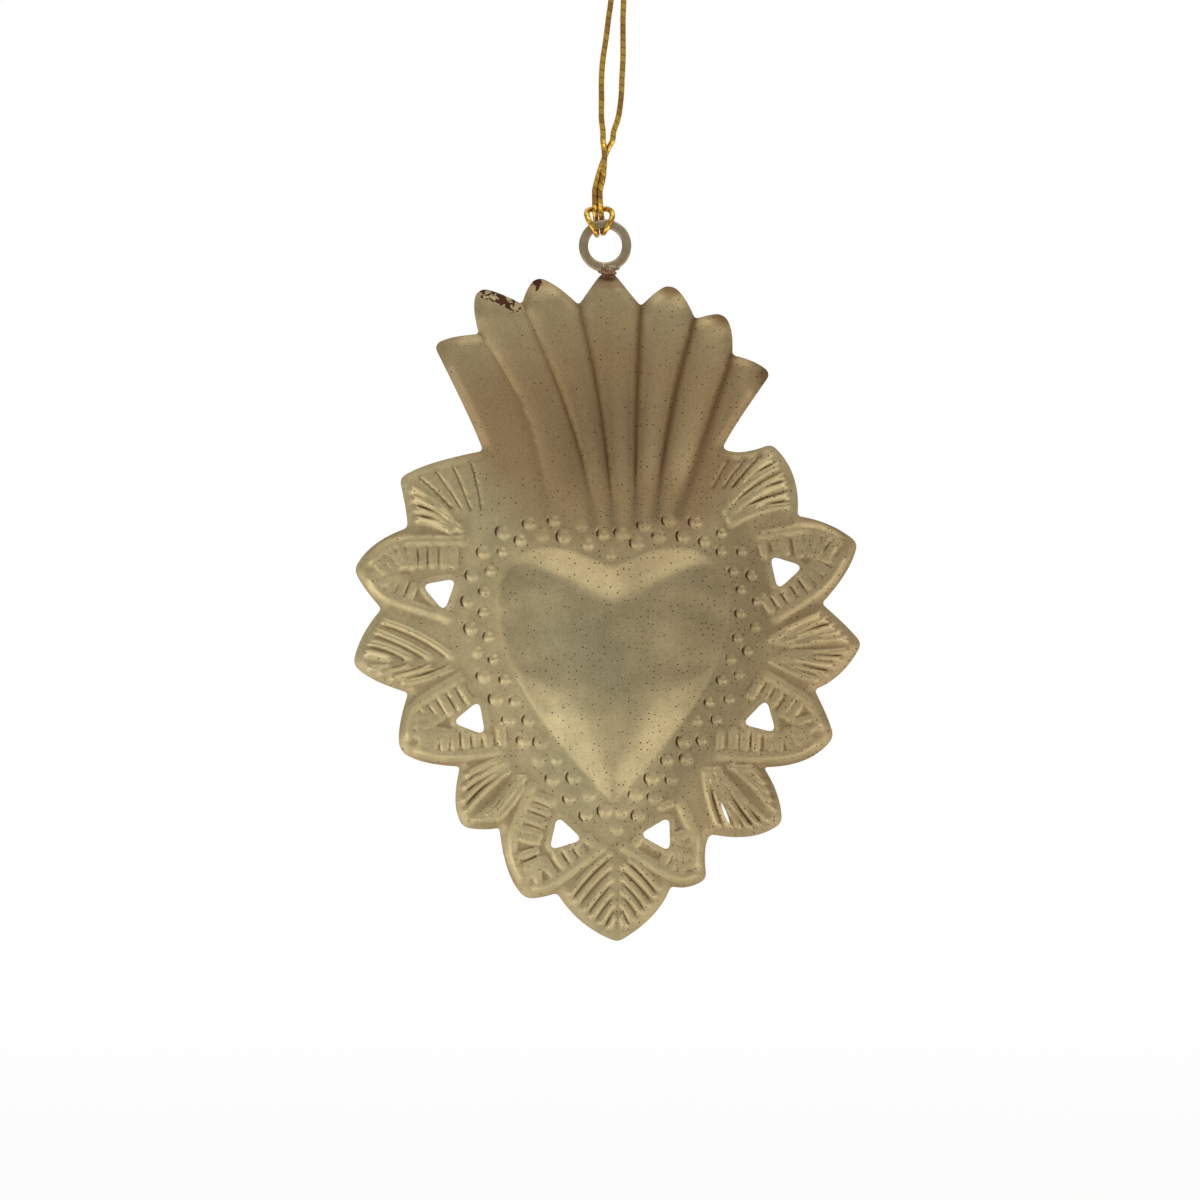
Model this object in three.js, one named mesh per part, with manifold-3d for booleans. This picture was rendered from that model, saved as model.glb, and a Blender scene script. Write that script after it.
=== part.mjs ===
// Brass sun heart ornament: one pressed brass sheet with a domed heart, two rows of beads, a fluted crown
// and thirteen petals. It hangs by a soldered ring from a gold cord, hitched to the ring and knotted on top.
// Millimetres, +Z up. The face looks along -Y. The origin is where the loop of cord hangs, under its knot.
import * as THREE from "three";
import { mergeVertices } from "three/addons/utils/BufferGeometryUtils.js";
import Module from "manifold-3d";

const wasm = await Module();
wasm.setup();

// Sheet: its thickness, how far its land lies behind the ring, and how its cut edges turn back.
const SHEET = 0.5;
const SETBACK = 1.45;
const RIM_BEND = 0.5;
const TIP_ROUND = 0.9;
const NOTCH_ROUND = 0.6;
const EDGE_STEP = 2.4;

// Heart: its contour about its own centre, how far each curve of it pulls before it turns, and its dome.
const HEART_WIDTH = 46.6;
const HEART_TOP = 22.6;
const HEART_DIP = 19;
const HEART_SIDE = 12;
const HEART_TIP = 28.4;
const LOBE_SPREAD = 12.8;
const TIP_PULL = [12.1, 12.8];
const SIDE_PULL = { below: 14.4, above: 6.3 };
const LOBE_PULL = 6.3;
const DIP_PULL = [3.8, 0.5];
const HEART_STEPS = 96;
const DOME_RISE = 4.6;
const DOME_SHOULDER = 8.5;
const DOME_CREASE = 0.5;
const DOME_RINGS = [1.4, 3, 5, 7, 8.5, 12.5];
const DOME_SPREAD = 0.25;
const DOME_GAP = 0.9;

// Beads: two rows of domes around the heart, the inner row half a pitch on from the outer one.
const BEAD_DIAMETER = 3.1;
const BEAD_RISE = 0.6;
const BEADS_IN_ROW = 35;
const BEAD_LINE = 4;
const ROW_SPACING = 3;
const BEAD_SIDES = 6;
const BEAD_CROWN = 0.55;
const BEAD_LAND = 1.2;
const BEAD_GAP = 0.3;

// Crown flutes: rounded ridges between grooves that run down to the beads. The reaches of their tips,
// notches and feet are past the heart's contour.
const CROWN_REACH = 56;
const CROWN_NOTCH_REACH = 50;
const FLUTE_RISE = 1.1;
const FLUTE_FOOT = 10.6;
const FLUTE_FADE = 18;
const FLUTE_STEP = 2.8;
const FLUTE_SHARES = [0.25, 0.5, 0.75];
const FLUTE_GAP = 0.7;
const LINE_STEPS = 24;

// Petals: leaves with raised veins on each side of a midrib, and looped petals with a raised line in their
// rim and a pierced triangle. The reaches of tips, notches and triangles are past the heart's contour.
const PETAL_REACH = 28;
const PETAL_NOTCH_REACH = 21;
const VEINS = 5;
const VEIN_RISE = 0.6;
const VEIN_LEAN = 0.34;
const VEIN_END = 0.95;
const VEIN_SHARES = [0.3, 0.58, 0.84];
const VEIN_GAP = 0.45;
const LOOP_RISE = 0.6;
const LOOP_INSET = 2.1;
const LOOP_WIDTH = 2.3;
const LOOP_GAP = 0.6;
const HOLE_REACH = 12.8;
const HOLE_RADIUS = 4.1;
const HOLE_ROUND = 1.9;
const COLLAR_RISE = 0.3;
const COLLAR_WIDTH = 1.4;
const CRACK_WIDTH = 0.55;

// Ring of flat wire with its seam at the bottom, and the solder that joins it to the middle flute. The
// solder climbs over a share of the ring's band, and runs down the flute from its tip.
const RING_DIAMETER = 10.5;
const RING_BAND = 1.85;
const RING_THICK = 1.4;
const RING_CHAMFER = 0.3;
const RING_SEAM = 0.3;
const RING_STEPS = 40;
const SOLDER_WIDTH = 5.0;
const SOLDER_CLIMB = 0.9;
const SOLDER_RUN = 2.4;
const SOLDER_DEPTH = 3.2;
const SOLDER_WEB = 0.5;
const SOLDER_SIDES = 16;
const SOLDER_RINGS = 12;
const SEAT_GAP = 0.3;

// Cord: its thickness, the drops from the hook to its twist, on to its bend and on to the ring's wire, and
// how far the twist lies beside the hook and the ring beside the twist.
const CORD_DIAMETER = 1.1;
const CORD_SIDES = 8;
const LEG_STEP = 2;
const STRAND_STEP = 1;
const HITCH_STEP = 0.65;
const END_RINGS = 6;
const LEG_DROP = 39.6;
const STRAND_DROP = 12.4;
const HITCH_DROP = 5.1;
const TWIST_ASIDE = -1;
const RING_ASIDE = -0.6;

// Knot in the two ends of the cord.
const KNOT_RADIUS = 1.8;
const KNOT_HEIGHT = 4.4;
const KNOT_WRAPS = 3;
const KNOT_TAPER = 0.25;
const KNOT_SIDES = 14;
const WRAP_POINTS = 6;
const TAIL_LENGTH = 6;
const TAIL_SPREAD = 0.75;
const TAIL_STEP = 1.4;

// The outline, clockwise from the left edge of the crown. Each point of it rises from the notch before to
// its tip and falls to its own notch. A tip, notch or hole is its angle about the heart's centre in degrees,
// and how much longer than its reach it was cut. A flank is the distance that it bows out, and where.
const CROWN_START = [121.8, 1.9];
const CROWN = [
  { tip: [119.6, -9.5], notch: [112.3, -3.3], rise: [-0.3, 0.2], fall: [0.7, 0.2] },
  { tip: [109.7, -0.2], notch: [104.3, 2.1], rise: [1.1, 0.8], fall: [0.5, 0.2] },
  { tip: [101.1, 1.5], notch: [95.5, 2], rise: [0.6, 0.7], fall: [0.6, 0.3] },
  { tip: [90.8, 1.6], notch: [85.5, 1.8], rise: [1.3, 0.6], fall: [1.3, 0.4] },
  { tip: [81.2, -0.1], notch: [76.5, -1], rise: [0.6, 0.8], fall: [0.7, 0.3] },
  { tip: [72.4, -5.8], notch: [68.7, -8], rise: [0.3, 0.7], fall: [0.9, 0.3] },
  { tip: [61.2, -16.3], notch: [62.7, -27.5], rise: [0.7, 0.7], fall: [-0.3, 0.8] },
];
const PETALS = [
  { tip: [53.9, -1.7], notch: [38.1, -2.1], rise: [-1.1, 0.3], fall: [2, 0.45] },
  { tip: [25.7, 0.5], notch: [15.3, -1.2], rise: [1, 0.55], fall: [1, 0.35],
    hole: [27.8, -0.5], turn: -15 },
  { tip: [3.9, 0.5], notch: [-8.2, 0], rise: [0.3, 0.7], fall: [1.3, 0.55] },
  { tip: [-19, -0.1], notch: [-35.3, -2.4], rise: [0.3, 0.7], fall: [2, 0.4],
    hole: [-21.3, 0.4], turn: -23 },
  { tip: [-43.8, 0.3], notch: [-60.6, -1.1], rise: [0.9, 0.55], fall: [1.7, 0.4] },
  { tip: [-66.7, -1.5], notch: [-75.6, 2.7], rise: [-0.8, 0.25], fall: [0.9, 0.55],
    hole: [-75, 0.4], turn: 16 },
  { tip: [-89, 0.5], notch: [-103.5, 3.7], rise: [1.4, 0.4], fall: [1.4, 0.5] },
  { tip: [-110.1, 1.1], notch: [-124.3, 0], rise: [0.3, 0.7], fall: [1.4, 0.3],
    hole: [-105.9, 1], turn: -27 },
  { tip: [-131.7, -2], notch: [-145.3, -2.1], rise: [0.4, 0.3], fall: [1.4, 0.3] },
  { tip: [-157.1, -0.4], notch: [-171.1, 0.8], rise: [1, 0.7], fall: [0.8, 0.3],
    hole: [-157.4, -0.9], turn: -13 },
  { tip: [-179.3, 3.3], notch: [-192.6, 3.5], rise: [0.9, 0.7], fall: [0.9, 0.45] },
  { tip: [-199.4, 2.5], notch: [-212.8, 0.7], rise: [0.4, 0.7], fall: [1.4, 0.4],
    hole: [-201.8, -0.6], turn: 2 },
  { tip: [-220.4, -0.1], notch: [-238.2, 1.9], rise: [-0.3, 0.2], fall: [0.9, 0.25] },
];

// The crack in one leaf, by its two ends: the angle about the heart's centre, and the reach past the heart.
const CRACK = [[-52.7, 16.5], [-54.5, 21]];

// The grooves between the flutes: the angle of each one's foot, and how it bows on its way down to it.
const GROOVES = [
  { foot: 114.9, bow: [3.1, 0.55] },
  { foot: 98.4, bow: [2, 0.65] },
  { foot: 90, bow: [1.1, 0.45] },
  { foot: 80.8, bow: [-0.3, 0.5] },
  { foot: 73.3, bow: [-1.1, 0.45] },
  { foot: 65.8, bow: [-0.2, 0.6] },
];
const CROWN_FEET = [124.9, 58];

// The cord's route in X, Y and Z: the legs from the hook, the strands from the twist and the hitch from the
// bend. The left leg crosses in front of the right one and becomes the right strand.
const LEFT_LEG = [
  [-0.7, 0, -0.1], [-0.7, 0, -1.5], [-0.6, 0, -6], [-0.4, 0, -12], [-0.9, 0, -16], [-1.4, 0, -20],
  [-2, 0, -24], [-2.3, 0, -28], [-2.3, 0, -32], [-2.3, 0, -36], [-2, 0, -38.8], [-2, 0, -39.4],
];
const RIGHT_LEG = [
  [0.7, 0, -0.1], [0.7, 0, -1.5], [1.5, 0, -6], [2.1, 0, -12], [2, 0, -16], [2, 0, -20],
  [2, 0, -24], [1.8, 0, -28], [1.6, 0, -32], [1, 0, -36], [0.1, 0, -38.8], [0, 0, -39.4],
];
const RIGHT_STRAND = [
  [-1, 0, -0.2], [-1, 0, -0.8], [-0.8, -0.5, -2.4], [-0.7, -0.7, -4.4], [-0.8, -0.6, -6.4],
  [-1, -0.3, -8.4], [-1.5, 0, -10.8], [-1.5, 0, -11.5],
];
const LEFT_STRAND = [
  [1, 0, -0.2], [0.9, 0, -0.8], [0, 0.5, -2.4], [-0.8, 0.7, -4.4], [-1.5, 0.6, -6.4],
  [-2.2, 0.3, -8.4], [-2.75, 0, -10.8], [-2.75, 0, -11.5],
];
const HITCH = [
  [-2.75, 0, 0], [-2.7, 0.35, -1.3], [-2.55, 1.3, -3], [-2.4, 1.6, -4.6], [-2.3, 1.5, -6.45],
  [-2.25, 0.1, -7.4], [-2.5, -1.3, -6.95], [-3.2, -1.65, -5.6], [-4, -1.6, -3.9], [-4.5, -0.7, -2.4],
  [-4, 0.6, -1.4], [-3, 1.7, -1.1], [-2.1, 2, -1.1], [-1.2, 1.75, -1.2], [0.1, 0.6, -1.6],
  [0.9, -0.7, -2.6], [0.8, -1.55, -4.2], [0.1, -1.65, -5.6], [-0.6, -1.3, -6.75], [-0.95, 0.1, -7.15],
  [-1.05, 1.4, -6.2], [-1.15, 1.6, -4.6], [-1.3, 1.3, -3], [-1.45, 0.35, -1.3], [-1.5, 0, 0],
];

// Worked-out sizes.
const RING_RADIUS = (RING_DIAMETER - RING_BAND) / 2;
const TIP_DROP = RING_DIAMETER / 2 + 2 * SEAT_GAP + SOLDER_WEB;
const BAND = BEAD_LINE + ROW_SPACING / 2 + BEAD_DIAMETER / 2 + BEAD_LAND;
const FLAT = 0;
const WELD = 1e-4;

// Points of the flat blank. Each is a Vector3: across, up, and how far the sheet is pushed forward there.
const between = (a, b, share) => new THREE.Vector3().lerpVectors(a, b, share);
const flatDistance = (a, b) => Math.hypot(a.x - b.x, a.y - b.y);
const cross = (a, b) => a.x * b.y - a.y * b.x;
const turn = (a, b, c) => (b.x - a.x) * (c.y - a.y) - (b.y - a.y) * (c.x - a.x);

function raised(point, rise) {
  return new THREE.Vector3(point.x, point.y, rise);
}

function toSegment(point, a, b) {
  const along = ((point.x - a.x) * (b.x - a.x) + (point.y - a.y) * (b.y - a.y)) / flatDistance(a, b) ** 2;
  return flatDistance(point, between(a, b, THREE.MathUtils.clamp(along, 0, 1)));
}

function toLoop(point, loop) {
  return Math.min(...loop.map((corner, i) => toSegment(point, corner, loop[(i + 1) % loop.length])));
}

function isInside(point, loop) {
  let inside = false;
  loop.forEach((a, i) => {
    const b = loop[(i + 1) % loop.length];
    const crosses = a.y > point.y !== b.y > point.y;
    if (crosses && point.x < a.x + ((point.y - a.y) / (b.y - a.y)) * (b.x - a.x)) inside = !inside;
  });
  return inside;
}

// The heart's contour, from its tip up the right side, over both lobes and down again.
function heartContour() {
  const side = HEART_WIDTH / 2;
  const [tipOut, tipUp] = TIP_PULL;
  const [dipOut, dipUp] = DIP_PULL;
  const below = HEART_SIDE - SIDE_PULL.below;
  const above = HEART_SIDE + SIDE_PULL.above;
  const outer = LOBE_SPREAD + LOBE_PULL;
  const inner = LOBE_SPREAD - LOBE_PULL;
  const shape = new THREE.Shape();
  shape.moveTo(0, -HEART_TIP);
  shape.bezierCurveTo(tipOut, tipUp - HEART_TIP, side, below, side, HEART_SIDE);
  shape.bezierCurveTo(side, above, outer, HEART_TOP, LOBE_SPREAD, HEART_TOP);
  shape.bezierCurveTo(inner, HEART_TOP, dipOut, HEART_DIP + dipUp, 0, HEART_DIP);
  shape.bezierCurveTo(-dipOut, HEART_DIP + dipUp, -inner, HEART_TOP, -LOBE_SPREAD, HEART_TOP);
  shape.bezierCurveTo(-outer, HEART_TOP, -side, above, -side, HEART_SIDE);
  shape.bezierCurveTo(-side, below, -tipOut, tipUp - HEART_TIP, 0, -HEART_TIP);
  return shape.getSpacedPoints(HEART_STEPS).slice(0, -1).map((point) => raised(point, FLAT));
}
const heart = heartContour();

// The point at an angle about the heart's centre that lies a reach past the heart's contour.
function pastHeart(degrees, reach) {
  const angle = THREE.MathUtils.degToRad(degrees);
  const ray = new THREE.Vector3(Math.cos(angle), Math.sin(angle), 0);
  const radii = heart.map((a, i) => {
    const edge = heart[(i + 1) % heart.length].clone().sub(a);
    const share = cross(a, ray) / cross(ray, edge);
    return share >= 0 && share <= 1 ? cross(a, edge) / cross(ray, edge) : 0;
  });
  return ray.multiplyScalar(Math.max(...radii) + reach);
}

// One side of a petal or flute: a bowed curve from a to b.
function flank(a, b, [bow, where]) {
  const out = new THREE.Vector3(a.y - b.y, b.x - a.x, 0).normalize();
  const control = between(a, b, where).addScaledVector(out, 2 * bow);
  return new THREE.QuadraticBezierCurve3(a, control, b);
}

// Points along a curve from one trimmed end to the other, at about the edge step.
function along(curve, trimStart, trimEnd) {
  const length = curve.getLength();
  const count = Math.max(2, Math.round((length - trimStart - trimEnd) / EDGE_STEP));
  const share = (i) => (trimStart + ((length - trimStart - trimEnd) * i) / count) / length;
  return Array.from({ length: count + 1 }, (_, i) => curve.getPointAt(share(i)));
}

// A flute or petal with the corners and flanks of its outline, and the height of its cut edge.
function lobe(cut, start, reach, notchReach, edgeRise) {
  const peak = pastHeart(cut.tip[0], reach + cut.tip[1]);
  const end = pastHeart(cut.notch[0], notchReach + cut.notch[1]);
  const up = flank(start, peak, cut.rise);
  const down = flank(peak, end, cut.fall);
  return { ...cut, start, peak, end, up, down, edgeRise };
}

function chain(cuts, start, ...sizes) {
  const lobes = [];
  for (const cut of cuts) lobes.push(lobe(cut, lobes.at(-1)?.end ?? start, ...sizes));
  return lobes;
}

const fluteEdge = (share) => FLUTE_RISE * Math.sin((Math.PI / 2) * share);
const petalEdge = () => -RIM_BEND;
const crownStart = pastHeart(CROWN_START[0], PETAL_NOTCH_REACH + CROWN_START[1]);
const flutes = chain(CROWN, crownStart, CROWN_REACH, CROWN_NOTCH_REACH, fluteEdge);
const petals = chain(PETALS, flutes.at(-1).end, PETAL_REACH, PETAL_NOTCH_REACH, petalEdge);

function edgePoints(lobes) {
  return lobes.flatMap(({ up, down, peak, edgeRise }) => {
    const rising = along(up, NOTCH_ROUND, TIP_ROUND);
    const falling = along(down, TIP_ROUND, NOTCH_ROUND);
    const tip = new THREE.QuadraticBezierCurve3(rising.at(-1), peak, falling[0]).getPoint(0.5);
    return [
      ...rising.map((point, i) => raised(point, edgeRise(i / (rising.length - 1)))),
      raised(tip, edgeRise(1)),
      ...falling.map((point, i) => raised(point, edgeRise(1 - i / (falling.length - 1)))),
    ];
  });
}
const crownEdge = edgePoints(flutes);

// The edge of the crown that the solder can reach from under the ring, and its highest point.
const ringAcross = TWIST_ASIDE + RING_ASIDE;
const gripReach = SOLDER_WIDTH / 2 + EDGE_STEP;
const underRing = crownEdge.filter((point) => Math.abs(point.x - ringAcross) < gripReach);
const seatHeight = Math.max(...underRing.map((point) => point.y));

// The corners of the triangle that is pierced through a looped petal, at a distance from its middle. A
// negative distance gives points past the middles of its sides.
function holeCorners({ hole: [angle, trim], turn: degrees }, distance) {
  const middle = pastHeart(angle, HOLE_REACH + trim);
  return [0, 1, 2].map((corner) => {
    const direction = THREE.MathUtils.degToRad(angle + degrees + (corner * 360) / 3);
    const spoke = new THREE.Vector3(Math.cos(direction), Math.sin(direction), 0);
    return spoke.multiplyScalar(distance).add(middle);
  });
}

// The pierced triangle, with rounded corners and a raised edge.
function holePoints(petal) {
  const corners = holeCorners(petal, HOLE_RADIUS);
  return corners.flatMap((corner, i) => {
    const towards = (other) => between(corner, other, HOLE_ROUND / flatDistance(corner, other));
    const [from, to] = [corners.at(i - 1), corners[(i + 1) % corners.length]].map(towards);
    const curve = new THREE.QuadraticBezierCurve3(from, corner, to);
    return [0, 0.5, 1].map((share) => raised(curve.getPoint(share), COLLAR_RISE));
  });
}

// The crack: a narrow lens between its two ends.
function crackPoints() {
  const [from, to] = CRACK.map(([angle, reach]) => pastHeart(angle, reach));
  const out = new THREE.Vector3(from.y - to.y, to.x - from.x, 0).setLength(CRACK_WIDTH / 2);
  const middle = between(from, to, 0.5);
  return [from, middle.clone().add(out), to, middle.clone().sub(out)];
}

// The dome rises in an even bevel, with some crease at both its ends, from the contour to a level top.
function domeRise(inset) {
  const straight = Math.min(inset / DOME_SHOULDER, 1);
  const soft = THREE.MathUtils.smoothstep(inset, 0, DOME_SHOULDER);
  return DOME_RISE * THREE.MathUtils.lerp(soft, straight, DOME_CREASE);
}

// A line around the heart, moved out by a distance, or in by a negative one, less the stretches that cross.
function aroundHeart(offset) {
  const moved = heart.map((point, i) => {
    const [before, after] = [heart.at(i - 1), heart[(i + 1) % heart.length]];
    const out = new THREE.Vector3(after.y - before.y, before.x - after.x, 0).setLength(Math.abs(offset));
    return point.clone().addScaledVector(out, Math.sign(offset));
  });
  const slack = Math.abs(offset) / HEART_STEPS;
  const kept = moved.filter((point) => toLoop(point, heart) >= Math.abs(offset) - slack);
  return new THREE.CatmullRomCurve3(kept, true, "centripetal");
}

// A triangle mesh of the flat blank that keeps its edges and takes in points one by one. An edge is known by
// the numbers of its two points, and holds the third point of the triangle on its left.
const POINT_LIMIT = 65536;
const LEAST_TURN = 1e-6;
class Blank {
  constructor(outline, openings) {
    this.loops = [outline, ...openings];
    this.points = this.loops.flat();
    this.third = new Map();
    for (const [a, b, c] of THREE.ShapeUtils.triangulateShape(outline, openings)) {
      if (turn(this.points[a], this.points[b], this.points[c]) > 0) this.fill(a, b, c);
      else this.fill(a, c, b);
    }
    this.settle([...this.third.keys()]);
  }

  key(a, b) {
    return a * POINT_LIMIT + b;
  }

  fill(a, b, c) {
    this.third.set(this.key(a, b), c).set(this.key(b, c), a).set(this.key(c, a), b);
  }

  clear(a, b, c) {
    for (const [p, q] of [[a, b], [b, c], [c, a]]) this.third.delete(this.key(p, q));
  }

  // Turns the edges between two triangles until each pair of triangles is as even as it can be.
  settle(edges) {
    while (edges.length) {
      const edge = edges.pop();
      const [a, b] = [Math.floor(edge / POINT_LIMIT), edge % POINT_LIMIT];
      const c = this.third.get(edge);
      const d = this.third.get(this.key(b, a));
      if (c === undefined || d === undefined || !this.shouldTurn(a, b, c, d)) continue;
      this.clear(a, b, c);
      this.clear(b, a, d);
      this.fill(a, d, c);
      this.fill(d, b, c);
      edges.push(this.key(a, d), this.key(d, b), this.key(b, c), this.key(c, a));
    }
  }

  shouldTurn(a, b, c, d) {
    const [A, B, C, D] = [a, b, c, d].map((i) => this.points[i]);
    if (turn(A, D, C) < LEAST_TURN || turn(D, B, C) < LEAST_TURN) return false;
    const rows = [A, B, C].map((p) => [p.x - D.x, p.y - D.y, (p.x - D.x) ** 2 + (p.y - D.y) ** 2]);
    return new THREE.Matrix3().set(...rows.flat()).determinant() > LEAST_TURN;
  }

  // Adds a point, unless it lies off the sheet or closer than the gap to a point or an edge that is there.
  add(point, gap) {
    if (this.points.some((other) => flatDistance(other, point) < gap)) return;
    if (this.loops.some((loop) => toLoop(point, loop) < gap)) return;
    for (const [edge, c] of this.third) {
      const [a, b] = [Math.floor(edge / POINT_LIMIT), edge % POINT_LIMIT];
      if (c < a || c < b) continue;
      const [A, B, C] = [a, b, c].map((i) => this.points[i]);
      if (turn(A, B, point) < 0 || turn(B, C, point) < 0 || turn(C, A, point) < 0) continue;
      const n = this.points.push(point) - 1;
      this.clear(a, b, c);
      this.fill(a, b, n);
      this.fill(b, c, n);
      this.fill(c, a, n);
      this.settle([this.key(a, b), this.key(b, c), this.key(c, a)]);
      return;
    }
  }

  // The pressed sheet: the front and the back of the blank, pushed forward, and its cut edges.
  solid() {
    const count = this.points.length;
    const front = this.points.map((p) => [p.x, SETBACK - p.z - SHEET, p.y]);
    const back = this.points.map((p) => [p.x, SETBACK - p.z, p.y]);
    const faces = [];
    for (const [edge, c] of this.third) {
      const [a, b] = [Math.floor(edge / POINT_LIMIT), edge % POINT_LIMIT];
      if (c > a && c > b) faces.push(a, b, c, a + count, c + count, b + count);
      if (!this.third.has(this.key(b, a))) faces.push(b, a, a + count, b, a + count, b + count);
    }
    const geometry = new THREE.BufferGeometry();
    geometry.setAttribute("position", new THREE.Float32BufferAttribute([...front, ...back].flat(), 3));
    return geometry.setIndex(faces);
  }
}

// Points of the dome: its contour, its keel from the tip to the dip, and rings that grow coarser inwards.
function addHeart(blank) {
  const addDome = (point, gap) => {
    if (isInside(point, heart)) blank.add(raised(point, domeRise(toLoop(point, heart))), gap);
  };
  for (const point of heart) blank.add(point, DOME_GAP);
  for (let up = EDGE_STEP - HEART_TIP; up < HEART_DIP; up += EDGE_STEP) {
    addDome(new THREE.Vector3(0, up, FLAT), DOME_GAP);
  }
  for (const inset of DOME_RINGS) {
    const line = aroundHeart(-inset);
    const step = EDGE_STEP + inset * DOME_SPREAD;
    for (const point of line.getSpacedPoints(Math.round(line.getLength() / step))) addDome(point, step / 2);
  }
}

// Each bead is a ring of points on the land and one on its crown, with their flat sides along the row. Both
// rows follow one line around the heart.
function addBeads(blank) {
  const line = aroundHeart(BEAD_LINE);
  for (let bead = 0; bead < 2 * BEADS_IN_ROW; bead++) {
    const tangent = line.getTangentAt(bead / (2 * BEADS_IN_ROW));
    const out = new THREE.Vector3(tangent.y, -tangent.x, 0);
    const aside = bead % 2 ? -ROW_SPACING / 2 : ROW_SPACING / 2;
    const middle = line.getPointAt(bead / (2 * BEADS_IN_ROW)).addScaledVector(out, aside);
    for (const [share, rise] of [[BEAD_CROWN, BEAD_RISE], [1, FLAT]]) {
      for (let side = 0; side < BEAD_SIDES; side++) {
        const angle = Math.atan2(tangent.y, tangent.x) + (2 * Math.PI * side) / BEAD_SIDES;
        const spoke = new THREE.Vector3(Math.cos(angle), Math.sin(angle), 0);
        blank.add(raised(spoke.multiplyScalar((share * BEAD_DIAMETER) / 2).add(middle), rise), BEAD_GAP);
      }
    }
  }
}

// The lines between the flutes, from the top down: the crown's left edge, its grooves and its right edge.
function crownLines() {
  const feet = [CROWN_FEET[0], ...GROOVES.map((groove) => groove.foot), CROWN_FEET[1]];
  const [left, ...others] = feet.map((degrees) => pastHeart(degrees, FLUTE_FOOT));
  const right = others.pop();
  const grooves = others.map((foot, i) => flank(flutes[i].end, foot, GROOVES[i].bow).getPoints(LINE_STEPS));
  const leftEdge = flutes[0].up.getPoints(LINE_STEPS).reverse();
  const rightEdge = flutes.at(-1).down.getPoints(LINE_STEPS);
  return [[...leftEdge, left], ...grooves, [...rightEdge, right]];
}

function pointAt(line, up) {
  const i = line.findIndex((point) => point.y < up);
  return between(line[i - 1], line[i], (line[i - 1].y - up) / (line[i - 1].y - line[i].y));
}

// Rows of points across the flutes, all at the same heights, with half steps in the grooves.
function addFlutes(blank) {
  const lines = crownLines();
  const levels = (from, to, step) => {
    const first = Math.ceil(from / step);
    return Array.from({ length: Math.max(0, Math.ceil(to / step) - first) }, (_, i) => (first + i) * step);
  };
  for (const line of lines.slice(1, -1)) {
    const heights = levels(line.at(-1).y, line[0].y, FLUTE_STEP / 2);
    for (const up of heights) blank.add(pointAt(line, up), FLUTE_GAP);
  }
  flutes.forEach(({ peak }, i) => {
    const [left, right] = [lines[i], lines[i + 1]];
    const foot = Math.max(left.at(-1).y, right.at(-1).y);
    const top = Math.min(left[0].y, right[0].y);
    for (const up of levels(foot, top, FLUTE_STEP)) {
      for (const share of FLUTE_SHARES) {
        const fade = Math.min(1, (up - foot) / FLUTE_FADE);
        const rise = FLUTE_RISE * Math.sqrt(Math.sin(Math.PI * share)) * fade;
        blank.add(raised(between(pointAt(left, up), pointAt(right, up), share), rise), FLUTE_GAP);
      }
    }
    const throat = between(left[0], right[0], 0.5);
    for (const up of levels(throat.y, peak.y, FLUTE_STEP)) {
      const share = (up - throat.y) / (peak.y - throat.y);
      blank.add(raised(between(throat, peak, share), FLUTE_RISE), FLUTE_GAP);
    }
  });
}

// Rows of points from the midrib to the edges, by turns flat and raised.
function addLeaf(blank, { tip, peak, up, down }) {
  const root = pastHeart(tip[0], BAND);
  const edges = [(share) => up.getPoint(share), (share) => down.getPoint(1 - share)];
  for (let row = 0; row < 2 * VEINS; row++) {
    const share = row / (2 * VEINS);
    const rise = row % 2 ? VEIN_RISE : FLAT;
    const rib = between(root, peak, share * (1 - VEIN_LEAN));
    blank.add(raised(rib, FLAT), VEIN_GAP);
    for (const edge of edges) {
      const rim = edge(Math.max(0, share - VEIN_LEAN / 2) * VEIN_END);
      for (const out of VEIN_SHARES) blank.add(raised(between(rib, rim, out), rise), VEIN_GAP);
    }
  }
}

// A raised line that follows the outline, and a flat collar around the pierced triangle.
function addLoop(blank, petal) {
  const profile = [
    [LOOP_INSET, LOOP_RISE],
    [LOOP_INSET - LOOP_WIDTH / 2, FLAT],
    [LOOP_INSET + LOOP_WIDTH / 2, FLAT],
  ];
  for (const [inset, rise] of profile) {
    for (const side of [petal.up, petal.down]) {
      const count = Math.round(side.getLength() / EDGE_STEP);
      for (let i = 0; i <= count; i++) {
        const tangent = side.getTangentAt(i / count);
        const inward = new THREE.Vector3(tangent.y, -tangent.x, 0);
        blank.add(raised(side.getPointAt(i / count).addScaledVector(inward, inset), rise), LOOP_GAP);
      }
    }
  }
  for (const corner of holeCorners(petal, HOLE_RADIUS + COLLAR_WIDTH)) blank.add(corner, LOOP_GAP);
  for (const corner of holeCorners(petal, -HOLE_RADIUS / 2 - COLLAR_WIDTH)) blank.add(corner, LOOP_GAP);
}

function pressedPlate() {
  const looped = petals.filter((petal) => petal.hole);
  const outline = [...crownEdge, ...edgePoints(petals)];
  const blank = new Blank(outline, [...looped.map(holePoints), crackPoints()]);
  addHeart(blank);
  addBeads(blank);
  addFlutes(blank);
  for (const petal of looped) addLoop(blank, petal);
  for (const petal of petals) if (!petal.hole) addLeaf(blank, petal);
  return blank.solid();
}

// An arc of a circle that stands in the XZ plane, with a seam left open at its lowest point.
class RingLine extends THREE.Curve {
  constructor(radius, seam) {
    super();
    Object.assign(this, { radius, seam });
  }

  getPoint(share) {
    const half = this.seam / 2 / this.radius;
    const angle = half + (2 * Math.PI - 2 * half) * share;
    return new THREE.Vector3(this.radius * Math.sin(angle), 0, -this.radius * Math.cos(angle));
  }
}

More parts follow.
